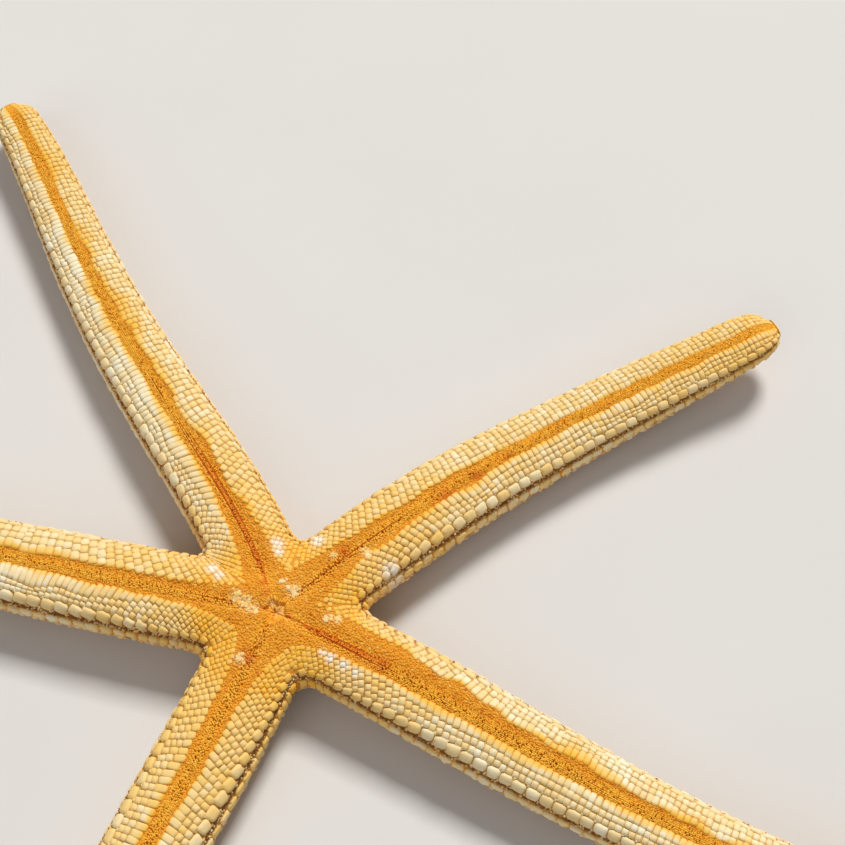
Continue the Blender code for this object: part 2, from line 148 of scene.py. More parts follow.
# %% [markdown]
# ## Camera, light and floor
#
# A photographer would lay the starfish on pale card under a large soft lamp. The camera looks down at 62
# degrees from close by, as in the photograph, which lets the far ends of the arms leave the picture.
# Setting this up first means that every later step can be looked at as it will be seen.

# %% Place the camera
CAMERA_FROM_MOUTH = (19.29, -64.29, 182.64)
CAMERA_PITCH = 62
SENSOR_WIDTH, FOCAL_PIXELS, PICTURE_WIDTH = 36, 1400, 845

bpy.ops.object.camera_add(location=to_frame(CAMERA_FROM_MOUTH))
camera = bpy.context.object
camera.rotation_euler = (math.radians(90 - CAMERA_PITCH), 0, 0)
camera.data.sensor_width = SENSOR_WIDTH
camera.data.lens = SENSOR_WIDTH * FOCAL_PIXELS / PICTURE_WIDTH
camera.data.clip_start = 10 * MM
bpy.context.scene.camera = camera
print("the camera stands", round(camera.location.z, 3), "m above the floor")


# %% Hang the lamps
LAMPS_AIM_AT = (0, 10, 5)
ROOM_COLOUR, ROOM_GLOW = (0.97, 0.98, 1.0, 1.0), 0.20


def lamp(name, place, size, power, colour):
    """A square soft lamp. Its place is in millimetres from the mouth, and its size in metres."""
    bpy.ops.object.light_add(type="AREA", location=to_frame(place))
    light = bpy.context.object
    light.name = name
    aim = Vector(to_frame(LAMPS_AIM_AT)) - light.location
    light.rotation_euler = aim.to_track_quat("-Z", "Y").to_euler()
    light.data.size, light.data.energy, light.data.color = size, power, colour


lamp("key_lamp", place=(990, 2550, 3060), size=1.08, power=162.0, colour=(1.0, 0.97, 0.93))
lamp("fill_lamp", place=(-1800, -2700, 2700), size=3.6, power=36.0, colour=(1.0, 0.98, 0.96))
bpy.context.scene.view_settings.view_transform = "Standard"

world = bpy.data.worlds.new("pale_room")
bpy.context.scene.world = world
world.use_nodes = True
room = world.node_tree.nodes["Background"].inputs
room["Color"].default_value, room["Strength"].default_value = ROOM_COLOUR, ROOM_GLOW

# %% Lay the floor
FLOOR_SIZE, FLOOR_DROP = 12.0, 0.0001

bpy.ops.mesh.primitive_plane_add(size=FLOOR_SIZE, location=(0, 0, -FLOOR_DROP))
floor = bpy.context.object
floor.name = "floor"
print("lamps and floor are in place")

# %% [markdown]
# ## The skin
#
# Under the plates runs one continuous skin. Each arm starts as a flat sheet, rolled up round its line like
# dough round a pin, and the disc as a second sheet that is gathered round the mouth. Joined and remeshed,
# they become a single watertight surface with no seam where an arm meets the disc. Lofting all of it in
# one piece would leave pinched faces in the corners between the arms, which is why it is remeshed.


# %% Start a sheet that is ready to be shaped
def flat_sheet(name, columns, rows):
    """A flat grid, and its own places on it, from -1 to 1 both ways."""
    bpy.ops.object.select_all(action="DESELECT")
    bpy.ops.mesh.primitive_grid_add(x_subdivisions=columns, y_subdivisions=rows, size=2)
    sheet = bpy.context.object
    sheet.name = name
    flat = np.zeros(len(sheet.data.vertices) * 3)
    sheet.data.vertices.foreach_get("co", flat)
    return sheet, flat.reshape(-1, 3)


def shape_sheet(sheet, points):
    """Moves the sheet's points, then sews its edges and poles and turns its faces outwards."""
    sheet.data.vertices.foreach_set("co", to_frame(points).ravel())
    bpy.ops.object.mode_set(mode="EDIT")
    bpy.ops.mesh.select_all(action="SELECT")
    bpy.ops.mesh.remove_doubles(threshold=1e-7)
    bpy.ops.mesh.normals_make_consistent(inside=False)
    bpy.ops.object.mode_set(mode="OBJECT")


# %% Roll the arms
ARM_COLUMNS, ARM_ROWS = 110, 112
TIP_CROWDING = 1.6
CLOSED_END = -0.9999


def roll_up(arm, flat, s, width, furrowed=True):
    """A sheet's points, rolled up round the arm's line: over the mouth side and back under the arm."""
    around = flat[:, 1] * 2
    top = np.abs(around) <= 1
    q = np.sin(np.where(top, around, np.sign(around) * (2 - np.abs(around))) * math.pi / 2)
    mouth_side = MOUTH_SIDE * width * swell(q, MOUTH_SQUARENESS)
    rise = np.where(top, mouth_side, -BACK_SIDE * width * swell(q, BACK_SQUARENESS))
    if furrowed:
        rise -= top * arm.furrow(s, q * width) * (width > 0)
    place, turn = arm.line(s)
    ahead = np.stack([np.cos(turn), np.sin(turn)], axis=1)
    across = np.stack([-np.sin(turn), np.cos(turn)], axis=1)
    level = place + ahead * (s - arm.length).clip(0, None)[:, None] + across * (q * width)[:, None]
    return np.column_stack([level, arm.girdle(s) + rise])


def rolled_arm(arm):
    sheet, flat = flat_sheet(arm.name + "_sheet", ARM_COLUMNS, ARM_ROWS)
    to_tip = ((1 - flat[:, 0]) / 2).clip(0, 1) ** TIP_CROWDING
    s = arm.length * (1 - to_tip)
    width = np.where(flat[:, 0] < CLOSED_END, 0.0, arm.half_width(s))
    shape_sheet(sheet, roll_up(arm, flat, s, width))
    return sheet


sheets = [rolled_arm(arm) for arm in ARMS]
print("rolled", len(sheets), "arms")

# %% Find how high and how wide the disc is
WEB_ROUNDING = 3.0
NEAR_DISC = 33


def arm_coordinates(arm, points):
    """How far along the arm, across it and off its line each point lies."""
    near = arm.along < NEAR_DISC
    offsets = points[:, None, :] - arm.places[near][None]
    nearest = (offsets**2).sum(axis=2).argmin(axis=1)
    offset = offsets[np.arange(len(points)), nearest]
    turn = arm.heading[nearest]
    ahead = np.cos(turn) * offset[:, 0] + np.sin(turn) * offset[:, 1]
    across = np.cos(turn) * offset[:, 1] - np.sin(turn) * offset[:, 0]
    off_line = np.where(nearest > 0, np.abs(across), np.hypot(ahead, across))
    return arm.along[nearest] + ahead, across, off_line


def disc_heights(points):
    """The distance outside the disc's rounded outline, and the heights of its two sides."""
    s, across, off_line = np.moveaxis([arm_coordinates(arm, points) for arm in ARMS], 1, 0)
    widths = np.array([arm.half_width(x) for arm, x in zip(ARMS, np.maximum(s, 0))])
    girdles = np.array([arm.girdle(x) for arm, x in zip(ARMS, np.maximum(s, 0))])
    dips = np.array([arm.furrow(x, t) for arm, x, t in zip(ARMS, s, across)])
    edges = off_line - widths
    rounded = np.sort(edges, axis=0)
    outside = rounded[0]
    for edge in rounded[1:]:
        mix = np.clip(WEB_ROUNDING - np.abs(outside - edge), 0, None) / WEB_ROUNDING
        outside = np.minimum(outside, edge) - mix**2 * WEB_ROUNDING / 4
    weights = np.clip(1 - (edges - edges.min(axis=0)) / WEB_ROUNDING, 0, None)
    weights /= weights.sum(axis=0)
    width, girdle = (weights * widths).sum(axis=0), (weights * girdles).sum(axis=0)
    dip = (dips * ((s > 0) | (off_line < FURROW_HALF_WIDTH))).max(axis=0)
    q = np.clip(1 + outside / width, 0, 1)
    top = girdle + MOUTH_SIDE * width * swell(q, MOUTH_SQUARENESS) - dip
    return outside, top, girdle - BACK_SIDE * width * swell(q, BACK_SQUARENESS)


# %% Gather the disc and join everything into one skin
DISC_SHEET_REACH, REACH_STEP = 14.0, 0.05
REACHES = np.arange(REACH_STEP, DISC_SHEET_REACH, REACH_STEP)
DISC_COLUMNS, DISC_ROWS = 180, 90


def disc_reach(angles):
    """How far out the disc's sheet goes in each direction."""
    out = np.stack([np.cos(angles), np.sin(angles)], axis=1)
    outside = disc_heights((out[:, None, :] * REACHES[None, :, None]).reshape(-1, 2))[0]
    inside = outside.reshape(len(angles), -1) < 0
    return REACHES[np.where(inside.all(axis=1), len(REACHES) - 1, inside.argmin(axis=1) - 1)]


def gathered_disc():
    sheet, flat = flat_sheet("disc_sheet", DISC_COLUMNS, DISC_ROWS)
    columns, column = np.unique(flat[:, 0].round(6), return_inverse=True)
    reach = disc_reach(columns * math.pi)[column.ravel()]
    angle = flat[:, 0] * math.pi
    r = reach * np.cos(flat[:, 1] * math.pi / 2)
    level = np.stack([np.cos(angle) * r, np.sin(angle) * r], axis=1)
    _, top, back = disc_heights(level)
    return sheet, np.column_stack([level, np.where(flat[:, 1] < 0, top, back)])


disc_sheet, disc_points = gathered_disc()
shape_sheet(disc_sheet, disc_points)
sheets.append(disc_sheet)

bpy.ops.object.select_all(action="DESELECT")
for sheet in sheets:
    sheet.select_set(True)
bpy.context.view_layer.objects.active = sheets[0]
bpy.ops.object.join()
skin = bpy.context.object
skin.name = "skin"
print("joined sheets:", len(skin.data.vertices), "points")

# %% Remesh and smooth the skin
SKIN_VOXEL = 0.47


def apply_modifier(obj, kind, **settings):
    """Adds one modifier with these settings and applies it, as a click on Apply does."""
    bpy.ops.object.select_all(action="DESELECT")
    obj.select_set(True)
    bpy.context.view_layer.objects.active = obj
    modifier = obj.modifiers.new(kind.lower(), kind)
    for key, value in settings.items():
        setattr(modifier, key, value)
    bpy.ops.object.modifier_apply(modifier=modifier.name)


apply_modifier(skin, "REMESH", mode="VOXEL", voxel_size=SKIN_VOXEL * MM)
apply_modifier(skin, "SMOOTH", factor=0.5, iterations=4)
skin.data.shade_smooth()
print("skin:", len(skin.data.polygons), "faces")

# %% Sink the mouth and press the skin flat over the floor
MOUTH_PIT_DEPTH, MOUTH_PIT_RADIUS = 0.9, 1.1
MIDDLE_HEIGHT = 5
SKIN_OFF_FLOOR = 0.25


def points_of(obj):
    """The object's points, in millimetres from the mouth's axis."""
    flat = np.zeros(len(obj.data.vertices) * 3)
    obj.data.vertices.foreach_get("co", flat)
    return (flat.reshape(-1, 3) - MOUTH) / MM


skin_points = points_of(skin)
from_mouth = np.hypot(skin_points[:, 0], skin_points[:, 1])
upper = skin_points[:, 2] > MIDDLE_HEIGHT
skin_points[:, 2] -= upper * MOUTH_PIT_DEPTH * np.exp(-((from_mouth / MOUTH_PIT_RADIUS) ** 2))
skin_points[:, 2] = skin_points[:, 2].clip(SKIN_OFF_FLOOR, None)
skin.data.vertices.foreach_set("co", to_frame(skin_points).ravel())
skin.data.update()
print("skin from", skin_points.min(axis=0).round(1), "to", skin_points.max(axis=0).round(1))

# %% [markdown]
# ## A map of the skin
#
# Plates stand in rows, so they need a map: how far along an arm, and how far round from its furrow. Half
# of each arm, with its share of the disc, is cut into many thin sections that fan out in the corner
# between two arms. Rays from the middle of every section find the skin, and the lengths along it are
# measured. Any place on the map can then be turned into a point on the skin and a direction that stands
# up from it. The maps reach a little past the corners and past the middle of the back, where two of them
# meet, so that no row is cut off along a line. Snapping each plate to the nearest face would be simpler,
# but rows would wander.


# %% Find the lines between neighbouring arms
WEB_RADIUS, WEB_TRIES = 11, 181


def between(first, second):
    """The direction, from the mouth, that stays half way between two arms at the disc's edge."""
    start, end = first.heading[0], second.heading[0]
    angles = start + np.linspace(0, 1, WEB_TRIES) * ((end - start) % (2 * math.pi))
    points = np.stack([np.cos(angles), np.sin(angles)], axis=1) * WEB_RADIUS
    gap = arm_coordinates(first, points)[2] - arm_coordinates(second, points)[2]
    return float(angles[np.abs(gap).argmin()])


WEBS = [between(first, second) for first, second in zip(ARMS, ARMS[1:] + ARMS[:1])]
print("webs at", [round(math.degrees(angle) % 360) for angle in WEBS], "degrees")

# %% Map both sides of every arm
STATION, ROUND_STEP = 0.5, 0.25
RAY_ANGLES = np.radians(np.linspace(90, -106, 99))
FAN_REACH, FAN_POWER = 40.0, 1.2
MAP_STARTS, MAP_ENDS, MAP_OVERLAP = -1.5, 0.2, 1.0
NORMAL_SMOOTHINGS = 2
STRETCH_LIMITS = (0.35, 1.5)
INSIDE = 1.001  # keeps the next sample inside the grid
FULL_HALF_WIDTH, SMALLEST_SCALE = 6, 0.3
skin_tree = BVHTree.FromPolygons(skin_points.tolist(), [tuple(p.vertices) for p in skin.data.polygons])


class Side:
    """One side of an arm: the skin from the furrow over the margins to the middle of the back."""

    def __init__(self, arm, hand, web):
        self.arm, self.hand = arm, hand
        self.web_turn = abs((web - arm.heading[0] + math.pi) % (2 * math.pi) - math.pi)
        self.s = np.arange(MAP_STARTS, arm.length - MAP_ENDS, STATION)
        sections = [self.section(s) for s in self.s]
        self.girdle_w = np.array([section[2] for section in sections])
        self.end_w = np.array([section[3] for section in sections])
        self.w = np.arange(0.0, self.end_w.max() + MAP_OVERLAP, ROUND_STEP)
        self.points = np.array([self.evenly(section[0], section[1][:, :3]) for section in sections])
        normals = np.array([self.evenly(section[0], section[1][:, 3:]) for section in sections])
        for _ in range(NORMAL_SMOOTHINGS):
            normals[1:-1] += normals[:-2] + normals[2:]
            normals[:, 1:-1] += normals[:, :-2] + normals[:, 2:]
            normals /= np.linalg.norm(normals, axis=2, keepdims=True)
        self.normals = normals
        self.wanders = rng.normal(0, 1, (2, len(self.s)))
        ahead = np.gradient(self.points, STATION, axis=0)
        round_it = np.gradient(self.points, ROUND_STEP, axis=1)
        round_it /= np.linalg.norm(round_it, axis=2, keepdims=True).clip(1e-6, None)
        self.shears = (ahead * round_it).sum(axis=2)
        straight = ahead - self.shears[..., None] * round_it
        self.stretches = np.linalg.norm(straight, axis=2).clip(*STRETCH_LIMITS)

    def section(self, s):
        """Round lengths, points with normals, and where the widest line and the back's middle are."""
        place, turn = self.arm.line(s)
        place = place + min(s, 0.0) * np.array([math.cos(turn), math.sin(turn)])
        opened = 1 - (1 - min(s / FAN_REACH, 1.0)) ** FAN_POWER
        turn += self.hand * (self.web_turn + (math.pi / 2 - self.web_turn) * opened)
        middle = Vector((*place, self.arm.girdle(s)))
        hits = []
        for angle in RAY_ANGLES:
            flat = math.cos(angle)
            ray = Vector((math.cos(turn) * flat, math.sin(turn) * flat, math.sin(angle)))
            point, normal, _, _ = skin_tree.ray_cast(middle, ray)
            if point is not None:
                hits.append((*point, *normal, angle))
        hits = np.array(hits)
        lengths = np.linalg.norm(np.diff(hits[:, :3], axis=0), axis=1)
        w = np.concatenate([[0], np.cumsum(lengths)])
        girdle_w, end_w = np.interp((0, math.pi / 2), -hits[:, 6], w)
        return w, hits[:, :6], float(girdle_w), float(end_w)

    def evenly(self, w, values):
        return np.stack([np.interp(self.w, w, column) for column in values.T], axis=1)

    def blend(self, grid, s, w):
        """A grid's value at s and w, mixed from the four samples round it."""
        row = np.clip((s - MAP_STARTS) / STATION, 0, len(self.s) - INSIDE)
        column = np.clip(w / ROUND_STEP, 0, len(self.w) - INSIDE)
        i, j = row.astype(int), column.astype(int)
        down, right = row - i, column - j
        if grid.ndim == 3:
            down, right = down[..., None], right[..., None]
        near = grid[i, j] * (1 - right) + grid[i, j + 1] * right
        far = grid[i + 1, j] * (1 - right) + grid[i + 1, j + 1] * right
        return near * (1 - down) + far * down

    def at(self, s, w):
        """Points on the skin and the directions that stand up from it."""
        normals = self.blend(self.normals, s, w)
        return self.blend(self.points, s, w), normals / np.linalg.norm(normals, axis=-1, keepdims=True)

    def girdle_at(self, s):
        return np.interp(s, self.s, self.girdle_w)

    def end_at(self, s):
        return np.interp(s, self.s, self.end_w)

    def wander(self, s, reach, which=0):
        """A slow random wander about 0, which changes every few millimetres along the arm."""
        return np.interp(s / reach, np.arange(len(self.s)), self.wanders[which])

    def scale(self, s):
        """Plates shrink as the arm gets thinner."""
        return np.clip(self.arm.half_width(s) / FULL_HALF_WIDTH, SMALLEST_SCALE, None)

    def shrinks(self, share, s):
        """The same for a size of which only this share follows the arm's thickness."""
        return (1 - share) + share * self.scale(s)

    def own(self, table, usual=None):
        """What a table says for this side, or the usual value."""
        return table.get((self.arm.name, self.hand), usual)


SIDES = []
for index, arm in enumerate(ARMS):
    SIDES += [Side(arm, 1, WEBS[index]), Side(arm, -1, WEBS[index - 1])]
print("mapped", len(SIDES), "sides, each about", len(SIDES[0].w), "samples round")

# %% [markdown]
# ## Where the colours change
#
# The starfish is orange on its disc and along the furrows, cream on the plates and brown between them. The
# colours follow the rows, so they are worked out on the map and kept as numbers from 0 to 1 at each point:
# how warm it is, whether it lies in the band's core, in a dark crease, among the pores or on the back, and
# whether it lies in a pale spot. Part of the warmth and of the red spots is painted shade. Skin, plates
# and grains all ask the same functions, which keeps the markings in step. Tables that name a side give
# the arm and the hand: 1 is the side towards the next arm counter-clockwise, and -1 the other.

# %% Name where the rows lie
BAND_WIDTH, BAND_FLARE, BAND_FLARE_REACH = 0.98, 0.75, 24.0
BAND_WANDER, BAND_WANDERS_EVERY = 0.13, 2.2
DISC_BAND, DISC_BAND_REACH = 4.2, 4.4
WIDE_BAND_REACH = {
    ("arm_1", 1): 6.5, ("arm_1", -1): 7.0, ("arm_2", 1): 5.2, ("arm_2", -1): 5.2, ("arm_4", 1): 24.0,
    ("arm_5", 1): 8.0, ("arm_5", -1): 8.0,
}
LOWER_MARGIN_IN, LOWER_MARGIN_OUT = 3.85, 2.30
UPPER_MARGIN_IN, UPPER_MARGIN_OUT = 1.45, -0.15
FAR_MARGIN_IN = {("arm_1", -1): 3.2, ("arm_2", -1): 3.2, ("arm_5", 1): 3.3, ("arm_4", 1): 3.3}
FURROW_FILL, FURROW_BRIM, FILL_BEGINS, CREASE_SINK = 0.92, 1.25, (1.2, 3.0), 0.25
print("the orange band is", DISC_BAND + BAND_WIDTH, "mm wide from the furrow at the mouth")

# %% Name how the colours fade
CORE_WIDTH, CORE_FLARE, CORE_FLARE_REACH = 1.05, 0.7, 7.0
HONEY_REACH, HONEY_WANDER, HONEY_WANDERS_EVERY = 0.9, 0.55, 3.5
HONEY_FADE, LEAST_HONEY = (-0.1, 1.0), 0.3
GOLDEN_ZONE = {("arm_1", -1): 0.75, ("arm_2", -1): 0.2, ("arm_5", -1): 0.15, ("arm_4", 1): 0.4}
GOLDEN_BEGINS, GOLDEN_BAND, GOLDEN_WANDER, GOLDEN_HONEY = (6, 16), 0.25, 0.2, 1.6
# Warmer plates on some sides. On both sides of arm_3 and on side -1 of arm_5 this is painted shade.
SIDE_WARMTH_AND_SHADE = {
    ("arm_1", 1): 0.02, ("arm_1", -1): 0.24, ("arm_2", -1): 0.18, ("arm_3", 1): 0.28,
    ("arm_3", -1): 0.28, ("arm_5", 1): 0.25, ("arm_5", -1): 0.28,
}
USUAL_WARMTH, WARMEST_PLATE = 0.12, 0.9
TIP_WARMTH, TIP_BEGINS = 0.25, (0.6, 1.0)
DISC_WARMTH = ((0.95, 7.0, 13.5), (0.30, 10.0, 38.0))  # strength, and from where to where it fades
UPPER_FADE, BACK_FADE = (-0.5, 2.5), (0.3, 0.9)
# The pores' marking starts softly, which also paints shade on the edges of the margin plates beside them.
PORES_BEGIN, PORES_END = (-0.6, 0.3), (-0.25, 0.0)
print("golden plates stand on", len(GOLDEN_ZONE), "sides")

# %% Name the creases and the spots
CREASES = {  # how far beside the middle, how deep, and from where to where along the arm
    "arm_1": (0.36, 0.9, 3.0, 36.0), "arm_2": (0.0, 0.8, 0.5, 14.0), "arm_3": (0.0, 0.6, 2.0, 11.0),
    "arm_4": (0.38, 1.0, 0.5, 19.0), "arm_5": (0.0, 0.9, 4.0, 26.0),
}
CREASE_WIDTH, CREASE_BETWEEN, CREASE_FADE, CREASE_WANES_AT = 0.11, 0.42, 1.5, 0.6
CREASES_PART, CREASES_MEET = (2.5, 8.0), (0.8, 1.2)
# Spots where the plates, grains and skin of the mouth side are paler.
PALE_SPOTS = [  # each spot's place from the mouth and its radius
    (-0.3, 9.9, 0.75), (0.0, 8.6, 0.6), (5.2, 10.2, 0.8), (15.1, 6.1, 1.0), (-8.7, 6.1, 0.7),
    (-7.7, 5.0, 0.6), (6.4, -5.4, 0.5), (7.4, -6.2, 0.65), (9.1, -7.2, 0.6), (10.7, -8.2, 0.45),
]
# Red spots on the mouth side. The last three, along arm_5's furrow, are painted shadow.
RED_AND_SHADOW_SPOTS = [
    (14.0, -7.0, 1.2), (-1.8, 3.8, 0.7), (-1.3, 2.4, 0.6), (-3.4, -6.4, 1.0), (8.8, 8.6, 0.8),
    (22.5, 17.0, 1.3), (27.0, 20.2, 1.0), (31.5, 22.6, 1.2),
]
CRUMBLY = [
    (-5.2, 2.0, 0.7), (-4.0, 1.1, 0.8), (-2.9, 0.3, 0.7), (2.3, 2.8, 0.8), (0.4, 0.1, 0.6),
    (-0.6, 1.2, 0.4), (0.9, 4.1, 0.4), (6.9, -0.8, 0.5), (8.2, -1.1, 0.5), (11.7, 8.5, 0.6),
    (7.4, 8.0, 0.4), (-4.3, -6.6, 0.6),
]
PALE_SPOT_STRENGTH, RED_STRENGTH = 1.3, 0.6
print("named", len(PALE_SPOTS + RED_AND_SHADOW_SPOTS + CRUMBLY), "spots")


# %% Draw the band and the creases on the map
def step(edge_from, edge_to, value):
    """A smooth step from 0 to 1."""
    t = np.clip((value - edge_from) / (edge_to - edge_from), 0, 1)
    return t * t * (3 - 2 * t)


def golden(side, s):
    """How far golden plates stand beside the grains."""
    return side.own(GOLDEN_ZONE, 0.0) * step(*GOLDEN_BEGINS, s)


def crease_shows(side, s):
    """How strongly the crease shows, from 0 to 1."""
    _, depth, begins, ends = CREASES[side.arm.name]
    wanes = 1 - step(CREASE_WANES_AT * ends, ends, s)
    return depth * step(begins - CREASE_FADE, begins + CREASE_FADE, s) * wanes


def crease_offset(side, s):
    """How far a crease runs beside the furrow's middle. Two creases start and end as one."""
    offset, _, _, ends = CREASES[side.arm.name]
    meet = step(*(share * ends for share in CREASES_MEET), s)
    return offset * step(*CREASES_PART, s) * (1 - meet)


def crease_lines(side, s, w):
    """How near each place is to a crease, from 0 to 1 on it."""
    return np.exp(-(((w - crease_offset(side, s)) / CREASE_WIDTH) ** 2))


def band_edge(side, s):
    """How far the orange grains reach from the furrow's middle."""
    zone = golden(side, s)
    flare = BAND_FLARE * np.exp(-((s / BAND_FLARE_REACH) ** 2)) + GOLDEN_BAND * zone
    flare += (BAND_WANDER + GOLDEN_WANDER * zone) * side.wander(s, BAND_WANDERS_EVERY)
    reach = side.own(WIDE_BAND_REACH, DISC_BAND_REACH)
    return side.scale(s) * (BAND_WIDTH + flare) + DISC_BAND * np.exp(-s / reach)


# %% Work out the markings
MARKINGS = ("warm", "core", "crease", "pore", "back", "bleach")


def spots(points, places):
    """How close each point is to the nearest of some round spots, from 0 to 1 at its middle."""
    x, y = points[..., 0], points[..., 1]
    return np.max([np.exp(-((x - at_x) ** 2 + (y - at_y) ** 2) / r**2) for at_x, at_y, r in places], axis=0)


def markings(side, s, w):
    """The six markings at places on the map."""
    scale, off_girdle = side.scale(s), w - side.girdle_at(s)
    points = side.at(s, w)[0]
    off_mouth = np.hypot(points[..., 0], points[..., 1])
    upper = 1 - step(*UPPER_FADE, off_girdle)
    zone = golden(side, s)
    wander = (HONEY_WANDER + zone) * side.wander(s, HONEY_WANDERS_EVERY, 1)
    honey_reach = (HONEY_REACH + GOLDEN_HONEY * zone + wander).clip(LEAST_HONEY, None)
    band = 1 - step(*HONEY_FADE, (w - band_edge(side, s)) / honey_reach)
    disc = sum(strength * (1 - step(begins, ends, off_mouth)) for strength, begins, ends in DISC_WARMTH)
    # The side's own warmth, painted shade on arm_3 and on side -1 of arm_5, and warmer tips.
    bias = side.own(SIDE_WARMTH_AND_SHADE, USUAL_WARMTH) + TIP_WARMTH * step(*TIP_BEGINS, s / side.arm.length)
    core_width = scale * (CORE_WIDTH + CORE_FLARE * np.exp(-s / CORE_FLARE_REACH))
    lines = crease_lines(side, s, w) + CREASE_BETWEEN * (w < crease_offset(side, s))
    pores_begin = step(*PORES_BEGIN, off_girdle + LOWER_MARGIN_OUT * scale)
    pores_end = step(*PORES_END, off_girdle + UPPER_MARGIN_IN * scale)
    # Red spots, the three along arm_5's furrow painted shadow, which join the crease marking.
    red_and_shadow_spots = spots(points, RED_AND_SHADOW_SPOTS) * upper
    return {
        "warm": np.maximum(band, np.clip(disc + bias, 0, WARMEST_PLATE) * upper),
        "core": np.exp(-((w / core_width) ** 4)),
        "crease": np.maximum(lines * crease_shows(side, s), RED_STRENGTH * red_and_shadow_spots),
        "pore": pores_begin * (1 - pores_end),
        "back": step(*BACK_FADE, off_girdle),
        "bleach": np.clip(PALE_SPOT_STRENGTH * spots(points, PALE_SPOTS + CRUMBLY), 0, 1) * upper,
    }


def furrow_fill(side, s, w):
    """How far the furrow's grains stand up, so that they nearly fill it but for the creases."""
    brim, here = (side.at(s, at)[0][..., 2] for at in (np.full(np.shape(w), FURROW_BRIM), w))
    groove = crease_lines(side, s, w) * crease_shows(side, s)
    deep = (brim - here).clip(0, None) * (w < FURROW_BRIM) * step(*FILL_BEGINS, s)
    return FURROW_FILL * deep * (1 - CREASE_SINK * groove)


# %% Paint the skin with them
def set_numbers(mesh, name, values):
    """Keeps one number for each of the mesh's points, for a material to read."""
    attribute = mesh.attributes.new(name, "FLOAT", "POINT")
    attribute.data.foreach_set("value", np.asarray(values, dtype=np.float32).ravel())


def tree_of(points):
    """A tree that finds the nearest of many points."""
    tree = KDTree(len(points))
    for index, point in enumerate(points):
        tree.insert(point, index)
    tree.balance()
    return tree


def distances(tree, points):
    """How far each point is from the nearest in the tree, and which that is."""
    found = [tree.find(point) for point in points]
    return np.array([hit[2] for hit in found]), np.array([hit[1] for hit in found])


map_points, map_marks, map_fill = [], [], []
for side in SIDES:
    s, w = np.meshgrid(side.s, side.w, indexing="ij")
    real = w <= side.end_w[:, None] + ROUND_STEP
    marks = markings(side, s, w)
    map_points.append(side.points[real])
    map_fill.append(furrow_fill(side, s[real], w[real]))
    map_marks.append(np.stack([marks[name][real] for name in MARKINGS], axis=1))
map_points, map_marks, map_fill = np.vstack(map_points), np.vstack(map_marks), np.concatenate(map_fill)
map_tree = tree_of(map_points)
nearest = distances(map_tree, skin_points)[1]
for column, name in enumerate(MARKINGS):
    set_numbers(skin.data, name, map_marks[nearest, column])
print("painted the skin from", len(map_points), "map points")

# %% [markdown]
# ## One plate, modelled from a circle
#
# Each limy plate is a low pillow with rounded corners. One is modelled from a filled circle: squared a
# little, drawn upwards and inwards ring by ring, and closed with a point in the middle. It is then copied
# thousands of times, so it has only a few dozen faces. A grain is the same thing with fewer corners.


# %% Model a blank
class Blank:
    """A small pillow of half size 1, from its sunk root at -1 up to its crown at 1."""

    def __init__(self, name, corners, power, rings):
        """Rings are given as their reach and height. A power of 2 is round, and a higher one squarer."""
        bpy.ops.object.select_all(action="DESELECT")
        bpy.ops.mesh.primitive_circle_add(vertices=corners, radius=1, fill_type="NGON")
        obj = bpy.context.object
        obj.name = name
        for vertex in obj.data.vertices:
            turn = math.atan2(vertex.co.y, vertex.co.x) + math.pi / corners
            squared = [math.copysign(abs(f(turn)) ** (2 / power), f(turn)) for f in (math.cos, math.sin)]
            vertex.co = (*squared, -1)
        bpy.ops.object.mode_set(mode="EDIT")
        bpy.ops.mesh.select_all(action="SELECT")
        reach, height = 1.0, -1.0
        for new_reach, new_height in rings:
            move = {"value": (0, 0, new_height - height)}
            bpy.ops.mesh.extrude_region_move(TRANSFORM_OT_translate=move)
            ratio = new_reach / reach
            bpy.ops.transform.resize(value=(ratio, ratio, 1))
            reach, height = new_reach, new_height
        bpy.ops.mesh.poke(offset=1 - height)
        bpy.ops.mesh.select_all(action="SELECT")
        bpy.ops.mesh.normals_make_consistent(inside=False)
        bpy.ops.object.mode_set(mode="OBJECT")
        mesh = obj.data
        self.points = np.array([vertex.co for vertex in mesh.vertices])
        self.points[:, 2] = self.points[:, 2].clip(-1, 1)
        self.corners = np.concatenate([list(p.vertices) for p in mesh.polygons])
        self.sizes = np.array([len(p.vertices) for p in mesh.polygons])
        bpy.data.objects.remove(obj)


BAR = Blank("bar", 12, 4.2, [(1.0, 0.2), (0.90, 0.76), (0.52, 0.98)])
PLATE = Blank("plate", 12, 3.8, [(0.99, 0.2), (0.88, 0.74), (0.50, 0.97)])
SMALL_PLATE = Blank("small_plate", 8, 4.2, [(1.0, 0.2), (0.80, 0.86)])
KNOB = Blank("knob", 8, 2.3, [(0.97, 0.1), (0.66, 0.78)])
PEBBLE = Blank("pebble", 6, 2.0, [(0.97, 0.1), (0.66, 0.74)])
GRAIN = Blank("grain", 5, 2.0, [(0.84, 0.42)])
print("faces of a bar, a small plate and a grain:", *(len(b.sizes) for b in (BAR, SMALL_PLATE, GRAIN)))

# %% [markdown]
# ## Laying copies on the skin
#
# A copy isn't just put down: each of its points is looked up on the map, so a long plate bends with the
# arm as the real one does. Every copy keeps a random tone of its own, how high each of its points stands,
# and a small patch on an unwrap of the arm, so that a baked texture finds its colours.

# %% Lay copies of a blank
PATCH = 0.0015
UNWRAP_START, UNWRAP_LENGTH, UNWRAP_HALF = 0.02, 0.96, 0.48
ROOT_SINK, FULL_STALK = 0.14, 0.15
TAPER_SPREAD, UNEVENNESS = 0.06, 0.025
CROWN = 0.9


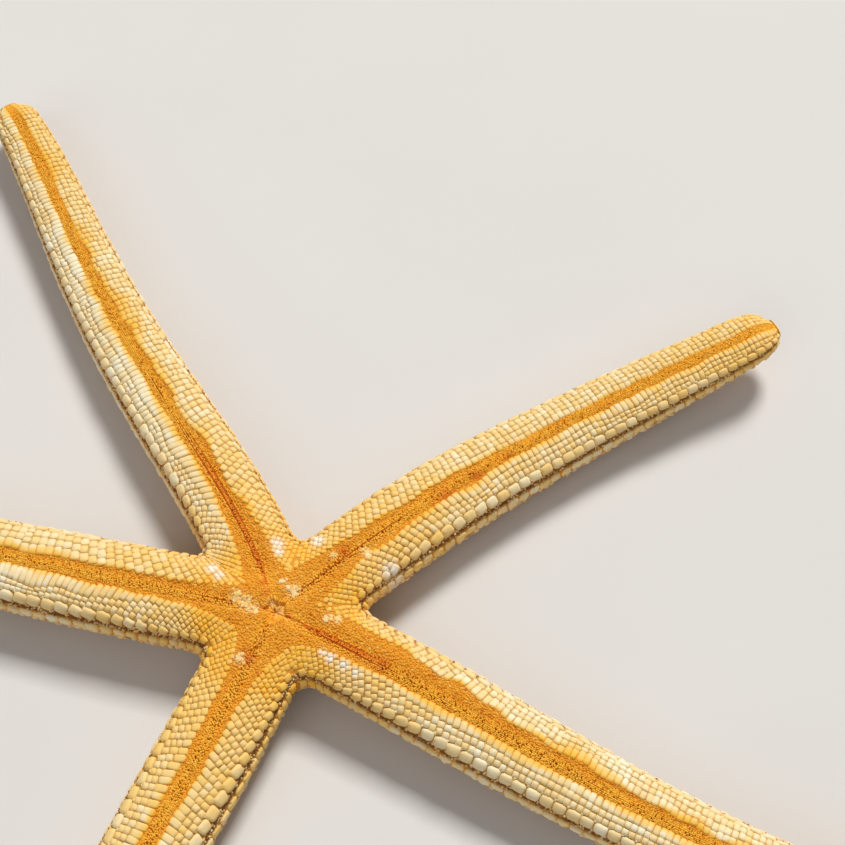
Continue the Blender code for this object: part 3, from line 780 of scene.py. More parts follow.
def unevenly(blank, count, spread):
    """Random factors for the points of each copy, but for its root and its crown."""
    return 1 + rng.normal(0, spread, (count, len(blank.points))) * (np.abs(blank.points[:, 2]) < CROWN)


def batch_of(blank, points, u, v, marks):
    """What is kept of some copies: a random tone each, heights, patches round u and v, and markings."""
    x, y, z = blank.points.T
    return {
        "blank": blank,
        "points": points.reshape(-1, 3),
        "tone": np.repeat(rng.random(len(u)), len(x)),
        "height": np.tile(z.clip(0, 1), len(u)),
        "u": (u[:, None] + x * PATCH).ravel(),
        "v": (v[:, None] + y * PATCH).ravel(),
        **{name: np.broadcast_to(marks[name], (len(u), len(x))).ravel() for name in MARKINGS},
    }


def lay(side, blank, s, w, along, across, rise, turn=0.0, lean=0.0, stalk=0.0):
    """Copies of a blank at places on the map, each on a stalk. Sizes are half lengths in millimetres."""
    s, w = np.asarray(s, dtype=float), np.asarray(w, dtype=float)
    numbers = (along, across, rise, turn, lean, stalk)
    along, across, rise, turn, lean, stalk = (np.broadcast_to(v, s.shape)[:, None] for v in numbers)
    x, y, z = blank.points.T
    taper = rng.normal(0, TAPER_SPREAD, s.shape)[:, None]
    uneven = unevenly(blank, len(s), UNEVENNESS)
    px, py = x * along * uneven * (1 + taper * y), y * across * uneven
    dx = px * np.cos(turn) - py * np.sin(turn)
    dy = px * np.sin(turn) + py * np.cos(turn)
    ahead = dx / side.blend(side.stretches, s, w)[:, None]
    at_s, at_w = s[:, None] + ahead, w[:, None] + dy - ahead * side.blend(side.shears, s, w)[:, None]
    points, normals = side.at(at_s, at_w)
    upright = np.clip(stalk / FULL_STALK, 0, 1)[..., None]
    normals = normals * (1 - upright) + np.array([0, 0, 1]) * upright
    height = np.where(z < 0, z * ROOT_SINK, stalk + z * rise * (1 + lean * y))
    points = points + normals * height[..., None]
    points[..., 2] = points[..., 2].clip(0.0, None)
    marks = markings(side, np.clip(at_s, 0, side.s[-1]), at_w.clip(0, None))
    u = UNWRAP_START + UNWRAP_LENGTH * s / side.arm.length
    v = 0.5 + side.hand * UNWRAP_HALF * np.clip(w / side.end_at(s), 0, 1)
    return batch_of(blank, points, u, v, marks)


def vary(count, spread):
    """Random factors about 1."""
    return 1 + rng.uniform(-spread, spread, count)


def strew(side, blank, s, w, sizes, spreads, turns=math.pi, lean=0.0):
    """Lays copies turned at random, with sizes along, across and up that vary by these spreads."""
    sizes = [size * vary(len(s), spread) if spread else size for size, spread in zip(sizes, spreads)]
    turn = rng.uniform(0, turns, len(s))
    return lay(side, blank, s, w, *sizes, turn=turn, lean=rng.normal(0, lean, len(s)) if lean else 0.0)


# %% Join copies into one mesh
def joined(name, batches):
    """One mesh object from many batches of copies, with their numbers and their bake patches."""
    batches = [batch for batch in batches if len(batch["points"])]
    starts, loops, sizes = 0, [], []
    for batch in batches:
        blank = batch["blank"]
        count = len(batch["points"]) // len(blank.points)
        shift = starts + np.arange(count)[:, None] * len(blank.points)
        loops.append((blank.corners[None, :] + shift).ravel())
        sizes.append(np.tile(blank.sizes, count))
        starts += len(batch["points"])
    points = np.vstack([batch["points"] for batch in batches])
    loops, sizes = np.concatenate(loops), np.concatenate(sizes)
    mesh = bpy.data.meshes.new(name)
    mesh.vertices.add(len(points))
    mesh.vertices.foreach_set("co", to_frame(points).ravel())
    mesh.loops.add(len(loops))
    mesh.loops.foreach_set("vertex_index", loops)
    mesh.polygons.add(len(sizes))
    mesh.polygons.foreach_set("loop_start", np.concatenate([[0], np.cumsum(sizes)[:-1]]))
    mesh.update(calc_edges=True)
    mesh.shade_smooth()
    for key in ("tone", "height", *MARKINGS):
        set_numbers(mesh, key, np.concatenate([batch[key] for batch in batches]))
    u = np.concatenate([batch["u"] for batch in batches])[loops]
    v = np.concatenate([batch["v"] for batch in batches])[loops]
    unwrap = mesh.uv_layers.new(name="OFBake")
    unwrap.data.foreach_set("uv", np.stack([u, v], axis=1).ravel())
    obj = bpy.data.objects.new(name, mesh)
    bpy.context.scene.collection.objects.link(obj)
    print(name, "has", int((sizes - 2).sum()), "triangles")
    return obj


# %% [markdown]
# ## The plates of the mouth side
#
# From the furrow outwards stand the bars beside the grains, one to three rows of small squares, and then
# two rows of large margin plates with a strip of pores between them. Bars and squares line up across the
# arm in columns. Near the disc the columns fan out and the grains take over.

# %% Name the sizes of the rows
COLUMN_PITCH, COLUMNS_LINE_UP = 0.93, (4.0, 10.0)
MARGIN_PITCH, UPPER_SHIFT = 1.95, 0.4
BAR_LENGTH, BAR_WANDER, BAR_WANDERS_EVERY = 1.45, 0.14, 4.0
BAR_LENGTHS = {("arm_1", 1): 2.25, ("arm_1", -1): 1.05, ("arm_2", 1): 2.0, ("arm_5", 1): 1.0}
LONGEST_BAR, LEAST_SPACE = 0.8, 0.5
SQUARE_SIZE = 0.92
CELL_SIZES = {
    ("arm_1", 1): 0.93, ("arm_1", -1): 1.15, ("arm_2", 1): 0.88, ("arm_2", -1): 1.2, ("arm_5", 1): 1.08,
}
BAR_RISE, SQUARE_RISE, MARGIN_RISE = 0.25, 0.22, 0.38
ROWS_END, COUNT_STEP, SMALLEST_ROOM = 0.6, 0.1, 0.42
LIME_CRUMB = (0.2, 0.2, 0.16)
# Sizes that grow away from the disc: their share at the disc, what is added, and from where to where.
BARS_GROW, SQUARES_GROW = (0.5, 0.5, 9, 25), (0.78, 0.22, 6, 17)
MARGIN_GROWS, MARGIN_PITCH_GROWS = (0.65, 0.35, 6, 24), (0.6, 0.4, 6, 24)
PITCH_AT_DISC, PITCH_GROWS = 0.72, (5, 17)
RISES_GROW = (0.55, 0.45, 6, 13)
print("bars and squares stand", COLUMN_PITCH, "mm apart, and margin plates", MARGIN_PITCH, "mm")


# %% Space the plates of a row
def grown(growth, s):
    """What share of its full size a thing has at s, as it grows away from the disc."""
    near, more, begins, ends = growth
    return near + more * step(begins, ends, s)


def midway(first, second):
    """The line midway between two lines. A line gives how far round it runs on a side at s."""
    return lambda side, s: (first(side, s) + second(side, s)) / 2


def pitched(side, line, pitch_of, shift=0.0):
    """Places along a line, counted from the arm's tip, and half their spacing on the map.

    Away from the disc every row has the same spacing, so that plates line up in columns.
    """
    s = np.arange(side.arm.length - ROWS_END - shift, 0.0, -COUNT_STEP)
    own, shared = (side.blend(side.stretches, s, w) for w in (line(side, s), side.girdle_at(s) / 2))
    stretch = own + (shared - own) * step(*COLUMNS_LINE_UP, s)
    spacing = pitch_of(side, s) * side.shrinks(0.45, s) / stretch
    count = np.concatenate([[0], np.cumsum(COUNT_STEP / ((spacing[1:] + spacing[:-1]) / 2))])
    wanted = np.arange(0.5, count[-1], 1.0)
    places = np.interp(wanted, count, s)
    return places, np.interp(places, s[::-1], spacing[::-1]) / 2


def kept(which, *lists):
    """The same picks from several lists."""
    return [values[which] for values in lists]


def row(side, blank, w_from, w_to, pitch_of, rise, shift=0.0, where=None):
    """One row of plates between two lines along the arm. Where the lines meet, plates are left out."""
    middle = midway(w_from, w_to)
    s, half = pitched(side, middle, pitch_of, shift)
    room = w_to(side, s) - w_from(side, s)
    fits = room > SMALLEST_ROOM
    if where:
        fits &= where(side, s)
    s, half, room = kept(fits, s, half, room)
    w, count = middle(side, s), len(s)
    stretch = side.blend(side.stretches, s, w)
    off_mouth = np.hypot(*side.at(s, w)[0][:, :2].T)
    return lay(
        side, blank, s + half * rng.normal(0, 0.06, count), w + rng.normal(0, 0.035, count),
        half * stretch * vary(count, 0.07), room / 2 * vary(count, 0.06),
        rise * vary(count, 0.2) * side.shrinks(0.4, s) * grown(RISES_GROW, off_mouth),
        turn=rng.normal(0, 0.05, count), lean=rng.normal(0, 0.13, count),
    )


# %% Draw the lines between the rows
def beside_girdle(reach):
    """A line that lies this far in from the widest one, and nearer where the arm is thin."""
    return lambda side, s: side.girdle_at(s) - reach * side.scale(s)


lower_margin_out = beside_girdle(LOWER_MARGIN_OUT)
upper_margin_in, upper_margin_out = beside_girdle(UPPER_MARGIN_IN), beside_girdle(UPPER_MARGIN_OUT)


def lower_margin_in(side, s):
    """Where the lower margin begins. Its plates are small near the disc."""
    width = (side.own(FAR_MARGIN_IN, LOWER_MARGIN_IN) - LOWER_MARGIN_OUT) * grown(MARGIN_GROWS, s)
    return side.girdle_at(s) - (LOWER_MARGIN_OUT + width) * side.scale(s)


def bar_length(side, s):
    """How long the bars are, before they wander."""
    return side.own(BAR_LENGTHS, BAR_LENGTH) * grown(BARS_GROW, s) * side.shrinks(0.6, s)


def bars_end(side, s):
    """Where the bars end and the squares begin."""
    inner = band_edge(side, s)
    bar = bar_length(side, s) * (1 + BAR_WANDER * side.wander(s, BAR_WANDERS_EVERY))
    room = (lower_margin_in(side, s) - inner).clip(LEAST_SPACE, None)
    return inner + np.minimum(bar, LONGEST_BAR * room)


def squares_deep(side, s):
    """How many rows of squares fit between the bars and the margin."""
    cell = side.own(CELL_SIZES, 1.0)
    square = SQUARE_SIZE * cell * side.shrinks(0.6, s) * grown(SQUARES_GROW, s)
    room = lower_margin_in(side, s) - (band_edge(side, s) + bar_length(side, s))
    return np.maximum(1, np.round(room / square))


def squares_line(number):
    """The line that has this many rows of squares between it and the margin."""
    def line(side, s):
        outer = lower_margin_in(side, s)
        return outer - (outer - bars_end(side, s)) / squares_deep(side, s) * number
    return line


def column_pitch(side, s):
    """How far apart bars and squares stand along the arm."""
    cell = side.own(CELL_SIZES, 1.0)
    return COLUMN_PITCH * grown((PITCH_AT_DISC, cell - PITCH_AT_DISC, *PITCH_GROWS), s)


def margin_pitch(side, s):
    """How far apart the margins' plates stand along the arm."""
    return MARGIN_PITCH * grown(MARGIN_PITCH_GROWS, s)


print("squares deep at 30 mm:", [int(squares_deep(side, 30.0)) for side in SIDES])


# %% Lay the bars, squares and margins
def furrow_rows(side):
    """The bars beside the furrow, then as many rows of squares as fit before the margin."""
    rows = [row(side, BAR, band_edge, bars_end, column_pitch, BAR_RISE)]
    for number in range(int(squares_deep(side, side.s).max())):
        between_lines = squares_line(number + 1), squares_line(number)
        fits = lambda side, s: squares_deep(side, s) > number
        rows.append(row(side, SMALL_PLATE, *between_lines, column_pitch, SQUARE_RISE, where=fits))
    return rows


def margin_rows(side):
    """The two rows of large plates, and crumbs of lime in the corners between the lower ones."""
    rows = [
        row(side, PLATE, lower_margin_in, lower_margin_out, margin_pitch, MARGIN_RISE),
        row(side, PLATE, upper_margin_in, upper_margin_out, margin_pitch, MARGIN_RISE, shift=UPPER_SHIFT),
    ]
    s, half = pitched(side, midway(lower_margin_in, lower_margin_out), margin_pitch)
    s = s[:-1] - half[:-1]
    for line in (lower_margin_in, lower_margin_out):
        rows.append(strew(side, SMALL_PLATE, s, line(side, s), LIME_CRUMB, (0.3, 0.3, 0.3), turns=1.5))
    return rows


plates = {}
for side in SIDES:
    rows = furrow_rows(side)
    plates.setdefault(side.arm.name, []).extend(rows + margin_rows(side))
print("laid", sum(len(rows) for rows in plates.values()), "rows")

# %% [markdown]
# ## Knobs on the back, and the grains
#
# The back carries rounded knobs in no strict order, round many small sunken areas of pores and fine grains.
# Throwing darts gives that look: places are drawn at random, and one is kept only if it is far enough from
# those kept before. Grains fill the furrow, the disc and the pore strips in the same way, only smaller.


# %% Throw darts
def scattered(points, spacing):
    """Which of these points to keep so that none lies nearer to another than its spacing."""
    spacing = np.broadcast_to(spacing, len(points))
    cell = float(spacing.max())
    chosen, cells = [], {}
    keys = np.floor(points / cell).astype(int)
    for index, (point, key) in enumerate(zip(points.tolist(), keys.tolist())):
        reach = spacing[index] ** 2
        near = False
        for i in (-1, 0, 1):
            for j in (-1, 0, 1):
                for k in (-1, 0, 1):
                    for x, y, z in cells.get((key[0] + i, key[1] + j, key[2] + k), ()):
                        if (x - point[0]) ** 2 + (y - point[1]) ** 2 + (z - point[2]) ** 2 < reach:
                            near = True
                            break
        if not near:
            chosen.append(index)
            cells.setdefault(tuple(key), []).append(point)
    return np.array(chosen, dtype=int)


def darts(side, density, w_from, w_to, short_of_tip):
    """Random places on the map between two lines along the arm."""
    area = np.clip(w_to(side, side.s) - w_from(side, side.s), 0, None).sum() * STATION
    count = int(area * density)
    s = rng.uniform(0, side.arm.length - short_of_tip, count)
    w = w_from(side, s) + rng.uniform(0, 1, count) * np.clip(w_to(side, s) - w_from(side, s), 0, None)
    keep = rng.random(count) < side.blend(side.stretches, s, w)
    return s[keep], w[keep]


# %% Find the pore areas of the back
PORE_SPACING, PORE_RADIUS, PORES_END_SHORT = 2.7, 0.72, 4
SIEVE_RADIUS, SIEVE_CLEARANCE, BACK_BELOW = 1.5, 0.6, 4.5
low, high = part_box("madreporite")
SIEVE = ((np.array([low.x + high.x, low.y + high.y]) / 2) - MOUTH[:2]) / MM
print("the sieve plate is at", SIEVE.round(1), "mm from the mouth")

back_starts = beside_girdle(UPPER_MARGIN_OUT - 0.1)


def off_sieve(points, room):
    """Which points of the back leave this much room round the sieve plate."""
    return (np.hypot(*(points[:, :2] - SIEVE).T) > SIEVE_RADIUS + room) | (points[:, 2] > BACK_BELOW)


pore_areas = []
for side in SIDES:
    s, w = darts(side, 3.0, back_starts, Side.end_at, PORES_END_SHORT)
    pore_areas.append(side.at(s, w)[0])
pore_areas = np.vstack(pore_areas)
pore_areas = pore_areas[off_sieve(pore_areas, SIEVE_CLEARANCE)]
pore_areas = pore_areas[scattered(pore_areas, PORE_SPACING)]
pore_tree = tree_of(pore_areas)
print("found places for", len(pore_areas), "pore areas")

# %% Lay the knobs round them
KNOB_SIZES = (  # the blank, its spacing and half size, how many darts on each mm2, and its rise
    (KNOB, 1.10, 0.62, 9.0, 0.36),
    (PEBBLE, 0.62, 0.34, 26.0, 0.25),
    (GRAIN, 0.42, 0.24, 42.0, 0.2),
)
KNOB_OVERLAP, KNOB_OVER_PORES, KNOB_OFF_SIEVE, KNOBS_END = 0.86, 0.5, 0.3, 0.6


def back_knobs(side, taken, sizes):
    """Large knobs first, then smaller ones in what room is left. Returns the copies and what is taken."""
    batches = []
    for blank, spacing, half, density, rise in KNOB_SIZES:
        s, w = darts(side, density, back_starts, Side.end_at, KNOBS_END)
        points = side.at(s, w)[0]
        size = half * rng.uniform(0.78, 1.15, len(s)) * side.shrinks(0.4, s)
        to_knob, which = distances(tree_of(taken), points)
        clear = to_knob > KNOB_OVERLAP * (sizes[which] + size)
        clear &= distances(pore_tree, points)[0] > PORE_RADIUS + KNOB_OVER_PORES * size
        clear &= off_sieve(points, KNOB_OFF_SIEVE + half)
        s, w, points, size = kept(clear, s, w, points, size)
        s, w, points, size = kept(scattered(points, spacing * size / half), s, w, points, size)
        batches.append(strew(side, blank, s, w, (size, size * 0.92, rise), (0.14, 0.14, 0.2), lean=0.1))
        taken, sizes = np.vstack([taken, points]), np.concatenate([sizes, size])
    return batches, taken, sizes


knob_places, knob_radii = np.array([[0.0, 0.0, 99.0]]), np.array([0.1])
for side in SIDES:
    batches, knob_places, knob_radii = back_knobs(side, knob_places, knob_radii)
    plates[side.arm.name].extend(batches)
knob_tree = tree_of(knob_places)
print("laid", len(knob_places), "knobs")

# %% Name the sizes of the grains
GRAIN_SPACING, GRAIN_SIZE, GRAIN_RISE, GRAINS_END = 0.24, 0.184, 0.15, 0.35
GRAIN_LINES, LINES_REACH, CREASE_GAP = 0.25, 1.1, 0.15
BAND_FRINGE, DISC_FRINGE, DISC_FRINGE_ENDS = 0.3, 0.5, (5, 14)
STRIP_SPACING, STRIP_SIZE, PLATE_CLEARANCE = 0.29, 0.198, 0.62
CREASE_PITCH, CREASE_GRAIN = 0.17, (0.13, 0.10, 0.09)
PORE_REACH, PORE_OVERLAP, PORE_GRAIN_SPACING, PORE_GRAIN = 1.05, 0.9, 0.32, (0.16, 0.16, 0.13)
TIP_REACH, TIP_SPACING, TIP_GRAIN = 5, 0.28, (0.17, 0.17, 0.13)
print("band grains are about", 2 * GRAIN_SIZE, "mm across")

# %% Lay the grains
strip_starts = beside_girdle(LOWER_MARGIN_OUT + 0.25)
upper_middle = beside_girdle((UPPER_MARGIN_IN + UPPER_MARGIN_OUT) / 2)


def strip_ends(side, s):
    return side.girdle_at(s) + 0.35


def furrow_middle(side, s):
    return 0.0 * s


def band_fringe(side, s):
    """Where the last of the band's grains lie, further out on the disc."""
    return band_edge(side, s) + BAND_FRINGE + DISC_FRINGE * (1 - step(*DISC_FRINGE_ENDS, s))


def strip_grains(side):
    """Coarse grains between the two margins and in the gaps between the upper plates."""
    plate_s, _ = pitched(side, upper_middle, margin_pitch, UPPER_SHIFT)
    upper_plates = tree_of(side.at(plate_s, upper_middle(side, plate_s))[0])
    s, w = darts(side, 45.0, strip_starts, strip_ends, GRAINS_END)
    points = side.at(s, w)[0]
    free = distances(upper_plates, points)[0] > PLATE_CLEARANCE * side.scale(s)
    s, w, points = kept(free, s, w, points)
    size = rng.uniform(0.75, 1.35, len(s))
    s, w, size = kept(scattered(points, STRIP_SPACING * size), s, w, STRIP_SIZE * size)
    return strew(side, GRAIN, s, w, (size, size, size * 1.1), (0, 0.2, 0.3))


def band_grains(side):
    """The fine grains of the furrow and disc, which draw into lines along the arm further out."""
    s, w = darts(side, 80.0, furrow_middle, band_fringe, GRAINS_END)
    off = w - crease_offset(side, s)
    first = GRAIN_LINES / 2 + CREASE_GAP * crease_shows(side, s)
    lines = first + GRAIN_LINES * np.round((np.abs(off) - first) / GRAIN_LINES).clip(0, None)
    in_line = (w < LINES_REACH) & (s > rng.uniform(2, 9, len(s)))
    w = np.where(in_line, w - off + np.sign(off) * lines + rng.normal(0, 0.02, len(s)), w)
    s, w = kept(w > 0.03, s, w)
    size = rng.uniform(0.72, 1.4, len(s)) * (1 - 0.08 * (w < LINES_REACH))
    s, w, size = kept(scattered(side.at(s, w)[0], GRAIN_SPACING * size), s, w, size)
    size = GRAIN_SIZE * size * (1.12 - 0.12 * step(3, 9, s) * (w > LINES_REACH))
    drawn, count = step(6, 20, s), len(s)
    return lay(
        side, GRAIN, s, w,
        size * (1 + 0.25 * drawn) * vary(count, 0.15), size * (1 - 0.12 * drawn) * vary(count, 0.15),
        GRAIN_RISE * vary(count, 0.4), turn=rng.normal(0, 1, count) * (1.5 - 1.1 * drawn),
        stalk=furrow_fill(side, s, w),
    )


def crease_grains(side):
    """A line of small grains sunk in each crease."""
    s = np.arange(1.0, side.arm.length / 2, CREASE_PITCH)
    s = s[rng.random(len(s)) < 1.6 * crease_shows(side, s)]
    s = s[(crease_offset(side, s) > 0.05) | (side.hand > 0)]
    w = (crease_offset(side, s) + rng.normal(0, 0.015, len(s))).clip(0, None)
    along, across, rise = CREASE_GRAIN
    return lay(
        side, GRAIN, s, w, along * vary(len(s), 0.2), across * vary(len(s), 0.2), rise,
        stalk=furrow_fill(side, s, w) * vary(len(s), 0.05),
    )


def pore_grains(side):
    """Fine grains in the pore areas of the back, clear of the knobs."""
    s, w = darts(side, 40.0, back_starts, Side.end_at, GRAINS_END)
    points = side.at(s, w)[0]
    s, w, points = kept(distances(pore_tree, points)[0] < PORE_REACH, s, w, points)
    to_knob, which = distances(knob_tree, points)
    clear = (to_knob > PORE_OVERLAP * knob_radii[which]) & off_sieve(points, 0.0)
    s, w, points = kept(clear, s, w, points)
    s, w = kept(scattered(points, PORE_GRAIN_SPACING), s, w)
    return strew(side, GRAIN, s, w, PORE_GRAIN, (0.2, 0.2, 0.3))


def tip_grains(side):
    """Grains between the small plates of the arm's tip."""
    s, w = darts(side, 25.0, furrow_middle, Side.girdle_at, GRAINS_END)
    s, w = kept(s > side.arm.length - TIP_REACH, s, w)
    s, w = kept(scattered(side.at(s, w)[0], TIP_SPACING), s, w)
    return strew(side, GRAIN, s, w, TIP_GRAIN, (0.2, 0.2, 0.3))


grains = {}
for side in SIDES:
    kinds = (band_grains, crease_grains, strip_grains, tip_grains, pore_grains)
    grains.setdefault(side.arm.name, []).extend(kind(side) for kind in kinds)

coat = []
for arm in ARMS:
    coat.append(joined(arm.name + "_plates", plates[arm.name]))
    coat.append(joined(arm.name + "_grains", grains[arm.name]))

# %% [markdown]
# ## Mouth, tips and sieve plate
#
# Small spines lean over the mouth and nearly close it. Each arm ends in one smooth plate, made like a
# thimble from the arm's own shape. On the back a round plate with fine grooves lets sea water in. Crumbs of
# dried tissue stick to the disc. These are single pieces, so they are set where they belong one by one.

# %% Stand copies anywhere on the skin
WELL_OVER, WELL_UNDER = 20.0, -5.0
DISC_UNWRAP = 40  # how many millimetres of the disc span its unwrap


def over(places, upper=True):
    """The skin's points and normals straight over, or under, places on the disc."""
    found = []
    for x, y in places:
        start, ray = ((x, y, WELL_OVER), (0, 0, -1)) if upper else ((x, y, WELL_UNDER), (0, 0, 1))
        point, normal, _, _ = skin_tree.ray_cast(Vector(start), Vector(ray))
        found.append((*point, *normal))
    found = np.array(found)
    return found[:, :3], found[:, 3:]


def stand(blank, places, aheads, along, across, rise, lean=0.0):
    """Copies of a blank that stand on the disc and point ahead, each with a patch where it stands."""
    points, ups = over(places)
    ahead = np.column_stack([aheads, np.zeros(len(places))])
    ahead -= (ahead * ups).sum(axis=1, keepdims=True) * ups
    ahead /= np.linalg.norm(ahead, axis=1, keepdims=True)
    sideways = np.cross(ups, ahead)
    x, y, z = blank.points.T
    numbers = (along, across, rise, lean)
    along, across, rise, lean = (np.broadcast_to(v, len(places))[:, None] for v in numbers)
    uneven = unevenly(blank, len(places), 2 * UNEVENNESS)
    near = distances(map_tree, points)[1]
    height = np.where(z < 0, z * ROOT_SINK, map_fill[near][:, None] + z * rise * (1 + lean * x))
    lengthwise = ahead[:, None] * (x * along * uneven)[..., None]
    crosswise = sideways[:, None] * (y * across * uneven)[..., None]
    placed = points[:, None] + lengthwise + crosswise + ups[:, None] * height[..., None]
    u, v = 0.5 + places.T / DISC_UNWRAP
    marks = {name: map_marks[near, column][:, None] for column, name in enumerate(MARKINGS)}
    return batch_of(blank, placed, u, v, marks)


# %% Close the mouth with spines
SPINE = Blank("spine", 7, 2.0, [(0.97, 0.1), (0.8, 0.6), (0.4, 0.95)])
SPINES_EACH_SIDE, SPINE_TURN = 4, 7.2
SPINE_RING, MIDDLE_REACHES_IN, HALF_ROW_GAP = 1.45, 0.35, 0.45


def mouth_spines():
    """Two rows of nine spines on each jaw, the middle ones longest, which point at the mouth."""
    fan = np.arange(-SPINES_EACH_SIDE, SPINES_EACH_SIDE + 1)
    angles = (np.array(WEBS)[:, None] + np.radians(SPINE_TURN) * fan).ravel()
    angles = angles + rng.normal(0, 0.03, len(angles))
    short = np.tile(np.abs(fan) / SPINES_EACH_SIDE, len(WEBS))
    ring = SPINE_RING - MIDDLE_REACHES_IN * (1 - short) + rng.normal(0, 0.05, len(angles))
    outward = np.stack([np.cos(angles), np.sin(angles)], axis=1)
    at_inner, at_outer = (outward * (ring + gap)[:, None] for gap in (-HALF_ROW_GAP, HALF_ROW_GAP))
    inner = stand(SPINE, at_inner, -outward, 0.50 - 0.12 * short, across=0.13, rise=0.30, lean=0.5)
    outer = stand(SPINE, at_outer, -outward, along=0.42, across=0.15, rise=0.26, lean=0.4)
    return joined("mouth_spines", [inner, outer])


mouth = mouth_spines()

# %% Drop crumbs of dried tissue
CRUMB = Blank("crumb", 7, 2.6, [(0.92, 0.35), (0.66, 0.88)])
CRUMB_DENSITY, FEWEST_CRUMBS, CRUMB_SIZES = 40, 3, (0.12, 0.36)


def crumbs():
    places = []
    for x, y, radius in CRUMBLY:
        count = int(CRUMB_DENSITY * radius**2) + FEWEST_CRUMBS
        places.append(np.array([x, y]) + rng.normal(0, 0.5 * radius, (count, 2)))
    places = np.vstack(places)
    turns = rng.uniform(0, 2 * math.pi, len(places))
    aheads = np.stack([np.cos(turns), np.sin(turns)], axis=1)
    size = rng.uniform(*CRUMB_SIZES, len(places))
    along = size * vary(len(size), 0.5)
    return joined("dry_crumbs", [stand(CRUMB, places, aheads, along, size, 0.13 + 0.08 * size)])


crumb_piece = crumbs()

# %% Cap the arms' tips
TIP_PLATE, TIP_PLATE_RISE, TIP_PLATE_GIRTH = 0.42, 0.14, 1.07
TIP_PLATE_LOOKS = {"tone": 0.55, "height": 0.8, "warm": 0.45, "bleach": 0.0}


def tip_plate(arm):
    """A thimble over the arm's end: its own shape, a little larger and closed inside the skin."""
    sheet, flat = flat_sheet(arm.name + "_tip", 24, 40)
    along = (flat[:, 0] + 1) / 2
    s = arm.length + TIP_PLATE_RISE - (TIP_PLATE + TIP_PLATE_RISE) * (1 - along) ** 1.7
    width = TIP_PLATE_GIRTH * arm.half_width(s - TIP_PLATE_RISE) * (along > 0.001)
    points = roll_up(arm, flat, s, width, furrowed=False)
    points[:, 2] = points[:, 2].clip(0.02, None)
    shape_sheet(sheet, points)
    sheet.data.shade_smooth()
    for name, value in TIP_PLATE_LOOKS.items():
        set_numbers(sheet.data, name, np.full(len(sheet.data.vertices), value))
    sheet.data.uv_layers[0].name = "OFBake"
    return sheet


tips = [tip_plate(arm) for arm in ARMS]
print("capped", len(tips), "tips")

# %% Groove the sieve plate
SIEVE_EDGE, SIEVE_DOME, SIEVE_ROOT = 0.12, 0.16, -0.2
GROOVE_DEPTH, GROOVES, GROOVE_WANDER = 0.05, 13, 2.2


def sieve_plate():
    """A low round plate on the back with grooves that wander outwards from its middle."""
    sheet, flat = flat_sheet("sieve_plate", 96, 40)
    point, up = (Vector(v[0]) for v in over([SIEVE], upper=False))
    first = up.orthogonal().normalized()
    second = up.cross(first)
    angle = flat[:, 0] * math.pi
    r = SIEVE_RADIUS * np.cos(flat[:, 1] * math.pi / 2)
    share = r / SIEVE_RADIUS
    waves = np.sin(GROOVES * angle + GROOVE_WANDER * np.sin(4 * r + 2 * angle))
    grooves = GROOVE_DEPTH * waves * share**0.6 * (1 - share**6)
    top = SIEVE_EDGE + SIEVE_DOME * (1 - share**3) + grooves
    height = np.where(flat[:, 1] > 0, top, SIEVE_ROOT) * (share < 0.999)
    level = np.outer(r * np.cos(angle), first) + np.outer(r * np.sin(angle), second)
    shape_sheet(sheet, np.array(point) + level + np.outer(height, up))
    sheet.data.shade_smooth()
    sheet.data.uv_layers[0].name = "OFBake"
    return sheet


sieve = sieve_plate()

# %% [markdown]
# ## Materials
#
# Dried lime is matt with a faint sheen, and no two plates have the same colour. Each material is a small
# network of nodes. Writing that network as sums in Python keeps it readable: a thin wrapper round a
# socket turns plus, minus and times into Math nodes.


# %% Wrap a socket so that it can be used in sums
class Wire:
    """An output socket that can be added, taken away and multiplied."""

    def __init__(self, finish, socket):
        self.finish, self.socket = finish, socket

    def maths(self, operation, first, second):
        return self.finish.node("ShaderNodeMath", {"operation": operation}, {0: first, 1: second})

    def __add__(self, other):
        return self.maths("ADD", self, other)

    __radd__ = __add__

    def __sub__(self, other):
        return self.maths("SUBTRACT", self, other)

    def __rsub__(self, other):
        return self.maths("SUBTRACT", other, self)

    def __mul__(self, other):
        return self.maths("MULTIPLY", self, other)

    __rmul__ = __mul__

    def limited(self):
        return self.finish.node("ShaderNodeClamp", {}, {"Value": self})


